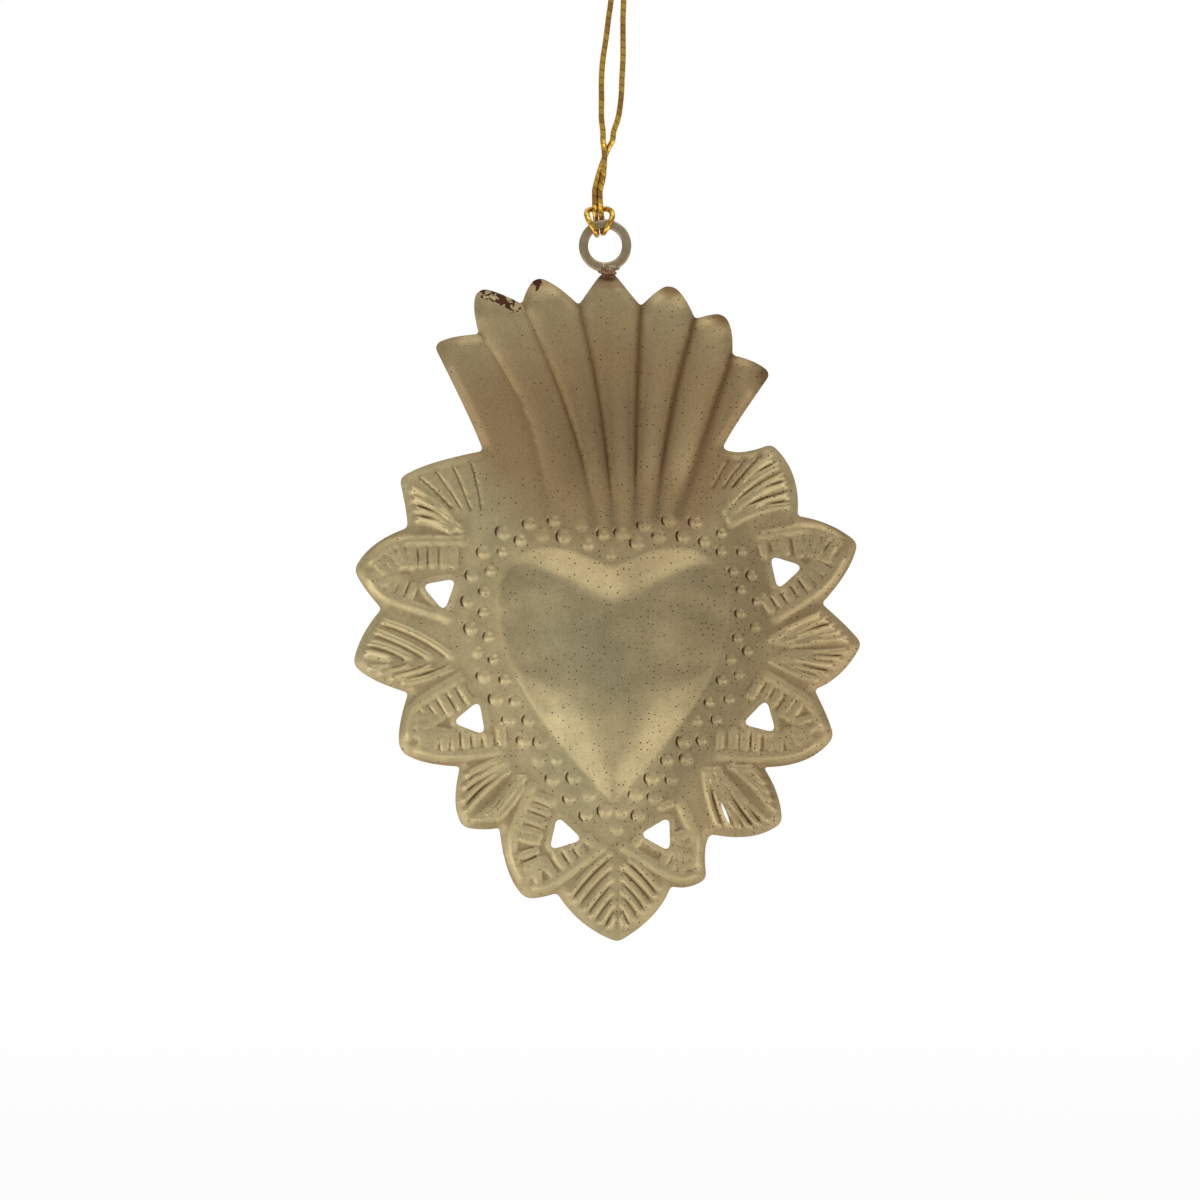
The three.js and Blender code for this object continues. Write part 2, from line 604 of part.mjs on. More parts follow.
// A flat wire section with chamfered corners.
function wireSection(thick, band, chamfer) {
  const [x, y] = [thick / 2, band / 2];
  const corners = [
    [x, y - chamfer], [x - chamfer, y], [chamfer - x, y], [-x, y - chamfer],
    [-x, chamfer - y], [chamfer - x, -y], [x - chamfer, -y], [x, chamfer - y],
  ];
  return new THREE.Shape(corners.map(([across, up]) => new THREE.Vector2(across, up)));
}

function ringBody() {
  const section = wireSection(RING_THICK, RING_BAND, RING_CHAMFER);
  const extrudePath = new RingLine(RING_RADIUS, RING_SEAM);
  return new THREE.ExtrudeGeometry(section, { steps: RING_STEPS, extrudePath, bevelEnabled: false });
}

function toSolid(geometry) {
  const bare = geometry.clone();
  bare.deleteAttribute("normal");
  bare.deleteAttribute("uv");
  const merged = mergeVertices(bare, WELD);
  const vertProperties = new Float32Array(merged.getAttribute("position").array);
  const triVerts = new Uint32Array(merged.index.array);
  return new wasm.Manifold(new wasm.Mesh({ numProp: 3, vertProperties, triVerts }));
}

function fromSolid(solid) {
  const { vertProperties, triVerts } = solid.getMesh();
  const geometry = new THREE.BufferGeometry();
  geometry.setAttribute("position", new THREE.BufferAttribute(vertProperties, 3));
  return geometry.setIndex(new THREE.BufferAttribute(triVerts, 1));
}

// The solder, about the ring's centre: a blob on the seam that grips the middle flute's tip, front and back.
function solderBlob() {
  const top = SOLDER_CLIMB * RING_BAND - RING_DIAMETER / 2;
  const bottom = -TIP_DROP - SOLDER_RUN;
  const blob = new THREE.SphereGeometry(1 / 2, SOLDER_SIDES, SOLDER_RINGS);
  blob.scale(SOLDER_WIDTH, SOLDER_DEPTH, top - bottom);
  blob.translate(0, 0, (top + bottom) / 2);
  const bed = new THREE.TorusGeometry(RING_RADIUS, RING_BAND / 2 + SEAT_GAP, SOLDER_RINGS, RING_STEPS);
  bed.rotateX(Math.PI / 2);
  const front = SETBACK - FLUTE_RISE - SHEET - SEAT_GAP;
  const gripped = underRing.filter((point) => point.y > seatHeight - SOLDER_RUN);
  const back = SETBACK - Math.min(...gripped.map((point) => point.z)) + SEAT_GAP;
  const slotTop = SEAT_GAP - TIP_DROP;
  const slot = new THREE.BoxGeometry(2 * SOLDER_WIDTH, back - front, 2 * (slotTop - bottom));
  slot.translate(0, (front + back) / 2, bottom);
  return fromSolid(toSolid(blob).subtract(toSolid(bed)).subtract(toSolid(slot)));
}

function tube(route, step) {
  const line = new THREE.CatmullRomCurve3(route.map((p) => new THREE.Vector3(...p)), false, "centripetal");
  const steps = Math.round(line.getLength() / step);
  const section = new THREE.Shape();
  for (let side = 0; side < CORD_SIDES; side++) {
    const angle = (2 * Math.PI * side) / CORD_SIDES;
    const corner = [(CORD_DIAMETER / 2) * Math.cos(angle), (CORD_DIAMETER / 2) * Math.sin(angle)];
    if (side === 0) section.moveTo(...corner);
    else section.lineTo(...corner);
  }
  return new THREE.ExtrudeGeometry(section, { steps, extrudePath: line, bevelEnabled: false });
}

// The lark's head on the ring, with round ends that stay clear of the strands above as it swings.
function cordHitch() {
  const ends = [HITCH[0], HITCH.at(-1)].map((end) => {
    return new THREE.SphereGeometry(CORD_DIAMETER / 2, CORD_SIDES, END_RINGS).translate(...end);
  });
  const line = toSolid(tube(HITCH, HITCH_STEP));
  return fromSolid(ends.reduce((solid, end) => solid.add(toSolid(end)), line));
}

// The knot in the two ends: a barrel of wraps that tapers to both ends, with the tails out of its top.
function cordKnot() {
  const base = SEAT_GAP;
  const top = base + KNOT_HEIGHT;
  const points = WRAP_POINTS * KNOT_WRAPS;
  const profile = [new THREE.Vector2(0, base)];
  for (let i = 0; i <= points; i++) {
    const share = i / points;
    const dip = 1 - Math.abs(Math.sin(Math.PI * KNOT_WRAPS * share));
    const taper = 1 - KNOT_TAPER * (1 - Math.sin(Math.PI * share));
    const radius = (KNOT_RADIUS - (CORD_DIAMETER / 2) * dip) * taper;
    profile.push(new THREE.Vector2(radius, base + KNOT_HEIGHT * share));
  }
  profile.push(new THREE.Vector2(0, top));
  const barrel = toSolid(new THREE.LatheGeometry(profile, KNOT_SIDES).rotateX(Math.PI / 2));
  const tails = [-TAIL_SPREAD, TAIL_SPREAD].map((aside) => {
    const foot = [aside, 0, base + KNOT_HEIGHT / 2];
    const bend = [aside, 0, top + TAIL_LENGTH / 3];
    const end = [2 * aside, 0, top + TAIL_LENGTH];
    return toSolid(tube([foot, bend, end], TAIL_STEP));
  });
  return fromSolid(tails.reduce((solid, tail) => solid.add(tail), barrel));
}

const brass = { color: 0x96825a, roughness: 0.42, metalness: 1 };
const wire = { color: 0x7d6c4c, roughness: 0.5, metalness: 1 };
const solder = { color: 0x6e6350, roughness: 0.6, metalness: 1 };
const gilt = { color: 0xc8a03c, roughness: 0.35, metalness: 1 };

function piece(name, geometry, finish) {
  const mesh = new THREE.Mesh(geometry, new THREE.MeshStandardMaterial(finish));
  mesh.name = name;
  return mesh;
}

// Each moving stretch is a group at the place where it turns, inside the one that carries it.
const hanger = new THREE.Group();
hanger.position.set(RING_ASIDE, 0, -HITCH_DROP - RING_RADIUS);
const plate = piece("pressed_plate", pressedPlate(), brass);
plate.position.set(-ringAcross, 0, -TIP_DROP - seatHeight);
hanger.add(plate, piece("hanging_ring", ringBody(), wire), piece("ring_solder", solderBlob(), solder));

const bend = new THREE.Group();
bend.position.z = -STRAND_DROP;
bend.add(piece("cord_hitch", cordHitch(), gilt), hanger);

const twist = new THREE.Group();
twist.position.set(TWIST_ASIDE, 0, -LEG_DROP);
twist.add(
  piece("cord_left_strand", tube(LEFT_STRAND, STRAND_STEP), gilt),
  piece("cord_right_strand", tube(RIGHT_STRAND, STRAND_STEP), gilt),
  bend,
);

const ornament = new THREE.Group();
ornament.add(
  piece("cord_knot", cordKnot(), gilt),
  piece("cord_left_leg", tube(LEFT_LEG, LEG_STEP), gilt),
  piece("cord_right_leg", tube(RIGHT_LEG, LEG_STEP), gilt),
  twist,
);

export default ornament;
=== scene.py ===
"""Brass sun heart ornament, dressed for the studio.

A sheet of antiqued brass is pressed into a heart with beads, flutes and petals. It hangs by a soldered
ring of flat wire from a cord that is wound with gold foil, hitched to the ring and knotted at its top.
"""
import logging
import math
from dataclasses import dataclass, field
from enum import Enum
from typing import Any, Iterable, Optional, Sequence

import bpy
import numpy as np
from bpy.types import Material, Node, NodeSocket, NodeTree, Object
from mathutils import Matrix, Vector, noise
from mathutils.geometry import delaunay_2d_cdt
from mathutils.kdtree import KDTree


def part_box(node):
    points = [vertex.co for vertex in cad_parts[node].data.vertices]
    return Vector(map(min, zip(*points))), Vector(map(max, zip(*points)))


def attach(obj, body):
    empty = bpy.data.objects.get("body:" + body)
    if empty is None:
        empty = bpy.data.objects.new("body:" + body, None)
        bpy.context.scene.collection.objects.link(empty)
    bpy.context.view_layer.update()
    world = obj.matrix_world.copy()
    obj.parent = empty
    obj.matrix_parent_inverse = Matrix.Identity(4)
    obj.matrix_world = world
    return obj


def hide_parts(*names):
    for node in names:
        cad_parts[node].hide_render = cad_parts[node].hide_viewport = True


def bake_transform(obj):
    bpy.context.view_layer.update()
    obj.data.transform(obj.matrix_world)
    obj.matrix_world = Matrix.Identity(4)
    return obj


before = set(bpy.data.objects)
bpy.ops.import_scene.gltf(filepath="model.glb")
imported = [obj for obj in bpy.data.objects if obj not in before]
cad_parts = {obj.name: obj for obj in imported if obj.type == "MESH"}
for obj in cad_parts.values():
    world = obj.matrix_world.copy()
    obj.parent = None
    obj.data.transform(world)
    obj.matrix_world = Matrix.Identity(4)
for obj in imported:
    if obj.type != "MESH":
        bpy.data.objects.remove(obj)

MM = 0.001
LOG = logging.getLogger("sun_heart")

Array = np.ndarray
Point = tuple[float, float]
Point3 = tuple[float, float, float]
Colour = tuple[float, float, float, float]


class Body(str, Enum):
    """The bodies of the frame, from the hook down."""

    TOP = "cord_top"
    STRANDS = "strands"
    HITCH = "hitch"
    ORNAMENT = "ornament"


class Slot(str, Enum):
    """The record's material slots."""

    PLATE = "antique_brass"
    RING = "ring_brass"
    SOLDER = "solder"
    CORD = "gold_cord"


def linear(hex_colour: str) -> Colour:
    """Turns an sRGB hex value into a linear colour.

    Args:
        hex_colour: Six hex digits, such as "96825a".

    Returns:
        Red, green, blue and alpha for a shader socket.
    """
    parts = [int(hex_colour[i:i + 2], 16) / 255 for i in (0, 2, 4)]
    red, green, blue = (p / 12.92 if p <= 0.04045 else ((p + 0.055) / 1.055) ** 2.4 for p in parts)
    return red, green, blue, 1.0


def add_node(
    tree: NodeTree,
    kind: str,
    settings: Optional[dict[str, Any]] = None,
    inputs: Optional[dict[Any, Any]] = None,
) -> Node:
    """Adds a node, sets it up and links it.

    Args:
        tree: The node tree that gets the node.
        kind: The node's type name.
        settings: Properties of the node.
        inputs: Values or sockets for the node's inputs, by name or number.

    Returns:
        The new node.
    """
    node = tree.nodes.new(kind)
    for name, value in (settings or {}).items():
        setattr(node, name, value)
    for name, value in (inputs or {}).items():
        if isinstance(value, NodeSocket):
            tree.links.new(value, node.inputs[name])
        else:
            node.inputs[name].default_value = value
    return node


def ramp(node: Node, stops: Sequence[tuple[float, Colour]]) -> None:
    """Sets the stops of a colour ramp.

    Args:
        node: The ramp.
        stops: Position and colour of each stop, in order.
    """
    elements = node.color_ramp.elements
    while len(elements) < len(stops):
        elements.new(1.0)
    for element, (place, colour) in zip(elements, stops):
        element.position = place
        element.color = colour


def grey(level: float) -> Colour:
    """Returns a grey of that level, for a ramp that holds a number."""
    return level, level, level, 1.0


def start_material(name: str) -> tuple[Material, NodeTree, Node]:
    """Makes a material with a bare principled shader.

    Args:
        name: The material's name.

    Returns:
        The material, its tree and its shader.
    """
    material = bpy.data.materials.new(name)
    material.use_nodes = True
    tree = material.node_tree
    return material, tree, tree.nodes["Principled BSDF"]


def alone(obj: Object) -> None:
    """Selects one object, and nothing else, and makes it the active one.

    Args:
        obj: The object.
    """
    bpy.ops.object.select_all(action="DESELECT")
    obj.select_set(True)
    bpy.context.view_layer.objects.active = obj


def apply_modifier(obj: Object, kind: str, **settings: Any) -> None:
    """Adds a modifier to an object and applies it.

    Args:
        obj: The object.
        kind: The modifier's type.
        **settings: Its properties.
    """
    alone(obj)
    modifier = obj.modifiers.new(kind.title(), kind)
    for name, value in settings.items():
        setattr(modifier, name, value)
    bpy.ops.object.modifier_apply(modifier=modifier.name)


def new_object(name: str, points: Array, faces: Iterable[Sequence[int]]) -> Object:
    """Makes a mesh object at the origin.

    Args:
        name: The piece's name.
        points: Its vertices in millimetres, in the frame.
        faces: Its faces by vertex numbers.

    Returns:
        The object, linked to the scene.
    """
    mesh = bpy.data.meshes.new(name)
    places = (np.asarray(points, float) * MM).tolist()
    mesh.from_pydata(places, [], [tuple(int(corner) for corner in face) for face in faces])
    mesh.update()
    obj = bpy.data.objects.new(name, mesh)
    bpy.context.scene.collection.objects.link(obj)
    return obj


def set_attribute(obj: Object, name: str, values: Array) -> None:
    """Stores a number for each vertex of a mesh.

    Args:
        obj: The mesh object.
        name: The attribute's name.
        values: One number for each vertex.
    """
    attribute = obj.data.attributes.new(name, "FLOAT", "POINT")
    attribute.data.foreach_set("value", np.asarray(values, np.float32))


def get_points(obj: Object) -> Array:
    """Reads the vertices of a mesh object.

    Args:
        obj: The object.

    Returns:
        Their places in millimetres.
    """
    flat = np.zeros(len(obj.data.vertices) * 3)
    obj.data.vertices.foreach_get("co", flat)
    return flat.reshape(-1, 3) / MM


def set_points(obj: Object, points: Array) -> None:
    """Moves the vertices of a mesh object to places in millimetres."""
    obj.data.vertices.foreach_set("co", (points * MM).ravel())
    obj.data.update()


def smoothstep(value: Array, low: float, high: float) -> Array:
    """Returns a number for each value, which rises smoothly from 0 at low to 1 at high."""
    share = np.clip((value - low) / (high - low), 0, 1)
    return share * share * (3 - 2 * share)


def noise_at(points: Array, size: float, seed: float) -> Array:
    """Smooth noise from -1 to 1.

    Args:
        points: Places in millimetres, in two or three columns.
        size: The size of the noise's features in millimetres.
        seed: Moves the noise, so that two uses differ.

    Returns:
        One number for each place.
    """
    scaled = np.column_stack([points, np.zeros((len(points), 3 - points.shape[1]))]) / size + seed
    return np.array([noise.noise(Vector(p)) for p in scaled])


def distances(line: Array) -> Array:
    """Returns how far along a line each of its points lies."""
    return np.concatenate([[0], np.cumsum(np.linalg.norm(np.diff(line, axis=0), axis=1))])


def right_of(ways: Array) -> Array:
    """Returns the unit vectors that point to the right of ways in the plane of the sheet."""
    return np.column_stack([ways[:, 1], -ways[:, 0]]) / np.linalg.norm(ways, axis=1)[:, None]


def through(points: Sequence[Sequence[float]], step: float) -> Array:
    """A smooth line through points, spaced evenly.

    Args:
        points: Points in millimetres.
        step: The spacing along the line in millimetres.

    Returns:
        Points along the line, the ends among them.
    """
    nodes = np.asarray(points, float)
    padded = np.vstack([2 * nodes[0] - nodes[1], nodes, 2 * nodes[-1] - nodes[-2]])
    pieces = []
    for p0, p1, p2, p3 in zip(padded, padded[1:], padded[2:], padded[3:]):
        gaps = [math.sqrt(np.linalg.norm(b - a)) for a, b in ((p0, p1), (p1, p2), (p2, p3))]
        out = ((p1 - p0) / gaps[0] - (p2 - p0) / (gaps[0] + gaps[1]) + (p2 - p1) / gaps[1]) * gaps[1]
        into = ((p2 - p1) / gaps[1] - (p3 - p1) / (gaps[1] + gaps[2]) + (p3 - p2) / gaps[2]) * gaps[1]
        share = np.linspace(0, 1, 24, endpoint=False)[:, None]
        pieces.append(
            (2 * share**3 - 3 * share**2 + 1) * p1 + (share**3 - 2 * share**2 + share) * out
            + (3 * share**2 - 2 * share**3) * p2 + (share**3 - share**2) * into
        )
    return evenly(np.vstack([*pieces, nodes[-1:]]), step)


def evenly(line: Array, step: float) -> Array:
    """Spaces points evenly along a line.

    Args:
        line: Many points along it.
        step: The spacing.

    Returns:
        The points, the line's ends among them.
    """
    lengths = distances(line)
    count = max(2, round(lengths[-1] / step)) + 1
    wanted = np.linspace(0, lengths[-1], count)
    return np.column_stack([np.interp(wanted, lengths, line[:, i]) for i in range(line.shape[1])])


def to_path(points: Array, path: Array, closed: bool = False) -> tuple[Array, Array]:
    """The distance from each point to a path of even steps in the plane of the sheet.

    Args:
        points: Places across and up, in millimetres.
        path: The path's corners.
        closed: Whether its end joins its start.

    Returns:
        The distances, and how far along the path the nearest place lies. On a closed path the distance is
        positive on the left of the path and negative on its right.
    """
    tree = KDTree(len(path))
    for i, (x, y) in enumerate(path.tolist()):
        tree.insert((x, y, 0), i)
    tree.balance()
    nearest = np.array([tree.find((x, y, 0))[1] for x, y in points.tolist()], int)
    ends = np.roll(path, -1, axis=0)
    edge = ends - path
    squared = np.maximum((edge**2).sum(1), 1e-12)
    before = np.concatenate([[0], np.cumsum(np.sqrt(squared))[:-1]])
    left = np.column_stack([-edge[:, 1], edge[:, 0]]) / np.sqrt(squared)[:, None]
    corner = ((left + np.roll(left, 1, axis=0))[nearest] * (points - path[nearest])).sum(1)
    best, along, side = np.full(len(points), np.inf), np.zeros(len(points)), np.ones(len(points))
    for step in (0, -1):
        number = (nearest + step) % len(path)
        usable = np.ones(len(points), bool)
        if not closed:
            usable = (nearest + step >= 0) & (number < len(path) - 1)
        offset = points - path[number]
        share = np.clip((offset * edge[number]).sum(1) / squared[number], 0, 1)
        gap = np.linalg.norm(offset - share[:, None] * edge[number], axis=1)
        better = usable & (gap < best)
        best = np.where(better, gap, best)
        along = np.where(better, before[number] + share * np.sqrt(squared[number]), along)
        turn = np.where((share > 0) & (share < 1), (left[number] * offset).sum(1), corner)
        side = np.where(better, np.sign(turn), side)
    return (best * side if closed else best), along


def within(points: Array, loop: Array) -> Array:
    """Returns how deep each point lies inside a loop that turns left, below 0 outside it."""
    return to_path(points, loop, True)[0]


def bow(a: Array, b: Array, bulge: float, where: float, step: float) -> Array:
    """A bowed line from a to b.

    Args:
        a: Its start.
        b: Its end.
        bulge: How far it bows to the left of its way, in millimetres.
        where: The share of its length at which it bows most.
        step: The spacing of its points.

    Returns:
        Points along the line, its ends among them.
    """
    out = np.array([a[1] - b[1], b[0] - a[0]])
    control = a + (b - a) * where + out / np.linalg.norm(out) * 2 * bulge
    share = np.linspace(0, 1, 60)[:, None]
    return evenly((1 - share)**2 * a + 2 * share * (1 - share) * control + share**2 * b, step)


@dataclass(frozen=True)
class AntiqueBrass:
    """Brass sheet, darkened with acid and rubbed back by hand.

    The patina stays brown in the hollows, the raised places are rubbed to a pale straw colour, and the
    rest is a dull olive gold with small dark pores and a few spots of tarnish. Painted shade darkens the
    face where an attribute says: the heart's flat top and keel, the crown's middle and grooves, and the
    beads on the right. On the back the same attribute only mottles it darker at random.
    """

    name: str = "antiqued_rubbed_brass"
    olive: str = "a89a74"
    straw: str = "b8a880"
    rubbed: str = "d6c291"
    patina: str = "6e5536"
    warm: str = "967f5c"
    tarnish: str = "8f9175"
    pore: str = "3f2f1e"
    stain: str = "3d1f16"
    tin: str = "8a7355"
    mottle_mm: float = 5.0
    tarnish_mm: float = 17.0
    wear_mm: float = 1.6
    fleck_mm: float = 1.3
    dent_mm: float = 2.6
    grain_mm: float = 0.3
    pore_mm: float = 1.2
    bump_mm: float = 0.03
    # the grey by which painted shade on the face, and the back's random mottle, darken the colour
    shade_and_mottle_grey: float = 0.55
    roughness: float = 0.44

    def build(self) -> Material:
        """Makes the material.

        Returns:
            The finished material.
        """
        material, tree, shader = start_material(self.name)
        place = add_node(tree, "ShaderNodeTexCoord").outputs["Object"]
        relief = add_node(tree, "ShaderNodeAttribute", {"attribute_name": "relief"}).outputs["Fac"]
        pitted = add_node(tree, "ShaderNodeAttribute", {"attribute_name": "pitted"}).outputs["Fac"]
        colour = self.body_colour(tree, place)
        colour = self.patinated(tree, place, relief, colour)
        pores, colour = self.pored(tree, place, pitted, colour)
        colour = self.stained(tree, place, colour)
        tinned = add_node(tree, "ShaderNodeAttribute", {"attribute_name": "tinned"}).outputs["Fac"]
        soldered = add_node(tree, "ShaderNodeMix", {"data_type": "RGBA"}, {
            "Factor": tinned, "A": colour, "B": linear(self.tin)})
        tree.links.new(soldered.outputs["Result"], shader.inputs["Base Color"])
        shader.inputs["Metallic"].default_value = 1.0
        self.surface(tree, place, relief, pores, shader)
        return material

    def body_colour(self, tree: NodeTree, place: NodeSocket) -> NodeSocket:
        """Mottles the metal from olive to straw, browner where an attribute says, darker with painted
        shade where another says, with tarnish.

        Args:
            tree: The material's tree.
            place: Object coordinates.

        Returns:
            The colour.
        """
        mottle = add_node(tree, "ShaderNodeTexNoise", None, {
            "Vector": place, "Scale": 1 / (self.mottle_mm * MM), "Detail": 5.0, "Roughness": 0.62})
        body = add_node(tree, "ShaderNodeValToRGB", None, {"Fac": mottle.outputs["Fac"]})
        ramp(body, [(0.36, linear(self.olive)), (0.64, linear(self.straw))])
        patches = add_node(tree, "ShaderNodeTexNoise", None, {
            "Vector": place, "Scale": 1 / (self.tarnish_mm * MM), "Detail": 3.0})
        green = add_node(tree, "ShaderNodeMapRange", None, {
            "Value": patches.outputs["Fac"], "From Min": 0.52, "From Max": 0.75, "To Max": 0.3})
        tarnished = add_node(tree, "ShaderNodeMix", {"data_type": "RGBA"}, {
            "Factor": green.outputs["Result"], "A": body.outputs["Color"], "B": linear(self.tarnish)})
        warmth = add_node(tree, "ShaderNodeAttribute", {"attribute_name": "warm"}).outputs["Fac"]
        warmed = add_node(tree, "ShaderNodeMix", {"data_type": "RGBA"}, {
            "Factor": warmth, "A": tarnished.outputs["Result"], "B": linear(self.warm)})
        # Painted shade: this attribute darkens the face's colour where it stands for shade, and mottles
        # the back at random.
        shade_and_mottle_share = add_node(tree, "ShaderNodeAttribute", {"attribute_name": "painted_shade_and_mottle"}).outputs["Fac"]
        painted_shade_and_mottle = add_node(tree, "ShaderNodeMix", {"data_type": "RGBA", "blend_type": "MULTIPLY"}, {
            "Factor": shade_and_mottle_share, "A": warmed.outputs["Result"], "B": grey(self.shade_and_mottle_grey)})
        grain = add_node(tree, "ShaderNodeTexNoise", None, {
            "Vector": place, "Scale": 1 / (self.grain_mm * MM), "Detail": 2.0})
        speck = add_node(tree, "ShaderNodeValToRGB", None, {"Fac": grain.outputs["Fac"]})
        ramp(speck, [(0.3, grey(0.86)), (0.7, grey(1.1))])
        grained = add_node(tree, "ShaderNodeMix", {"data_type": "RGBA", "blend_type": "MULTIPLY"}, {
            "Factor": 1.0, "A": painted_shade_and_mottle.outputs["Result"], "B": speck.outputs["Color"]})
        return grained.outputs["Result"]

    def patinated(
        self, tree: NodeTree, place: NodeSocket, relief: NodeSocket, colour: NodeSocket
    ) -> NodeSocket:
        """Darkens the hollows and rubs the raised places bright.

        Args:
            tree: The material's tree.
            place: Object coordinates.
            relief: How far each place is raised over its neighbours.
            colour: The colour so far.

        Returns:
            The colour.
        """
        uneven = add_node(tree, "ShaderNodeTexNoise", None, {
            "Vector": place, "Scale": 1 / (self.wear_mm * MM), "Detail": 4.0, "Roughness": 0.7})
        worn = add_node(tree, "ShaderNodeMath", {"operation": "MULTIPLY_ADD"}, {
            0: uneven.outputs["Fac"], 1: 0.3, 2: relief})
        dark = add_node(tree, "ShaderNodeMapRange", None, {
            "Value": worn.outputs["Value"], "From Min": 0.1, "From Max": -0.55, "To Max": 0.85})
        hollow = add_node(tree, "ShaderNodeMix", {"data_type": "RGBA"}, {
            "Factor": dark.outputs["Result"], "A": colour, "B": linear(self.patina)})
        bright = add_node(tree, "ShaderNodeMapRange", None, {
            "Value": worn.outputs["Value"], "From Min": 0.3, "From Max": 1.0, "To Max": 0.4})
        crest = add_node(tree, "ShaderNodeMix", {"data_type": "RGBA"}, {
            "Factor": bright.outputs["Result"], "A": hollow.outputs["Result"], "B": linear(self.rubbed)})
        return crest.outputs["Result"]

    def pored(
        self, tree: NodeTree, place: NodeSocket, pitted: NodeSocket, colour: NodeSocket
    ) -> tuple[NodeSocket, NodeSocket]:
        """Pits the sheet with dark pores, more of them where it is pitted.

        Args:
            tree: The material's tree.
            place: Object coordinates.
            pitted: From 0 to 1, how pitted the sheet is.
            colour: The colour so far.

        Returns:
            The pores, from 0 to 1, and the pitted colour.
        """
        parts = add_node(tree, "ShaderNodeSeparateXYZ", None, {"Vector": place})
        flat = add_node(tree, "ShaderNodeCombineXYZ", None, {
            "X": parts.outputs["X"], "Y": parts.outputs["Z"]})
        cells = add_node(tree, "ShaderNodeTexVoronoi", {"voronoi_dimensions": "2D"}, {
            "Vector": flat.outputs["Vector"], "Scale": 1 / (self.pore_mm * MM), "Randomness": 1.0})
        chance = add_node(tree, "ShaderNodeSeparateColor", None, {"Color": cells.outputs["Color"]})
        size = add_node(tree, "ShaderNodeMath", {"operation": "MULTIPLY_ADD"}, {
            0: chance.outputs[1], 1: 0.09, 2: 0.055})
        depth = add_node(tree, "ShaderNodeMath", {"operation": "SUBTRACT"}, {
            0: size.outputs["Value"], 1: cells.outputs["Distance"]})
        pit = add_node(tree, "ShaderNodeMapRange", None, {
            "Value": depth.outputs["Value"], "From Min": -0.02, "From Max": 0.04})
        limit = add_node(tree, "ShaderNodeMapRange", None, {
            "Value": pitted, "To Min": 0.85, "To Max": 0.35})
        some = add_node(tree, "ShaderNodeMath", {"operation": "GREATER_THAN"}, {
            0: chance.outputs[0], 1: limit.outputs["Result"]})
        pores = add_node(tree, "ShaderNodeMath", {"operation": "MULTIPLY"}, {
            0: pit.outputs["Result"], 1: some.outputs["Value"]})
        share = add_node(tree, "ShaderNodeMath", {"operation": "MULTIPLY"}, {
            0: pores.outputs["Value"], 1: 0.9})
        mixed = add_node(tree, "ShaderNodeMix", {"data_type": "RGBA"}, {
            "Factor": share.outputs["Value"], "A": colour, "B": linear(self.pore)})
        return pores.outputs["Value"], mixed.outputs["Result"]

    def stained(self, tree: NodeTree, place: NodeSocket, colour: NodeSocket) -> NodeSocket:
        """Leaves flecks of old brown lacquer, held by an attribute, where they were never rubbed off.

        Args:
            tree: The material's tree.
            place: Object coordinates.
            colour: The colour so far.

        Returns:
            The colour.
        """
        lacquer = add_node(tree, "ShaderNodeAttribute", {"attribute_name": "lacquer"}).outputs["Fac"]
        flecks = add_node(tree, "ShaderNodeTexNoise", None, {
            "Vector": place, "Scale": 1 / (self.fleck_mm * MM), "Detail": 3.0, "Roughness": 0.6})
        level = add_node(tree, "ShaderNodeMath", {"operation": "MULTIPLY"}, {
            0: flecks.outputs["Fac"], 1: lacquer})
        edge = add_node(tree, "ShaderNodeMapRange", None, {
            "Value": level.outputs["Value"], "From Min": 0.43, "From Max": 0.47, "To Max": 0.95})
        mixed = add_node(tree, "ShaderNodeMix", {"data_type": "RGBA"}, {
            "Factor": edge.outputs["Result"], "A": colour, "B": linear(self.stain)})
        return mixed.outputs["Result"]

    def surface(
        self, tree: NodeTree, place: NodeSocket, relief: NodeSocket, pores: NodeSocket, shader: Node
    ) -> None:
        """Sets the roughness and the fine grain of the metal.

        Args:
            tree: The material's tree.
            place: Object coordinates.
            relief: How far each place is raised over its neighbours.
            pores: The pores, from 0 to 1.
            shader: The shader that gets them.
        """
        grain = add_node(tree, "ShaderNodeTexNoise", None, {
            "Vector": place, "Scale": 1 / (self.grain_mm * MM), "Detail": 4.0, "Roughness": 0.65})
        rough = add_node(tree, "ShaderNodeMapRange", None, {
            "Value": relief, "From Min": 0.6, "From Max": -0.6,
            "To Min": self.roughness + 0.04, "To Max": self.roughness + 0.14})
        tree.links.new(rough.outputs["Result"], shader.inputs["Roughness"])
        dents = add_node(tree, "ShaderNodeTexNoise", None, {
            "Vector": place, "Scale": 1 / (self.dent_mm * MM), "Detail": 2.0})
        wavy = add_node(tree, "ShaderNodeMath", {"operation": "MULTIPLY_ADD"}, {
            0: dents.outputs["Fac"], 1: 2.2, 2: grain.outputs["Fac"]})
        height = add_node(tree, "ShaderNodeMath", {"operation": "MULTIPLY_ADD"}, {
            0: pores, 1: -2.5, 2: wavy.outputs["Value"]})
        bump = add_node(tree, "ShaderNodeBump", None, {
            "Height": height.outputs["Value"], "Strength": 0.35, "Distance": self.bump_mm * MM})
        tree.links.new(bump.outputs["Normal"], shader.inputs["Normal"])


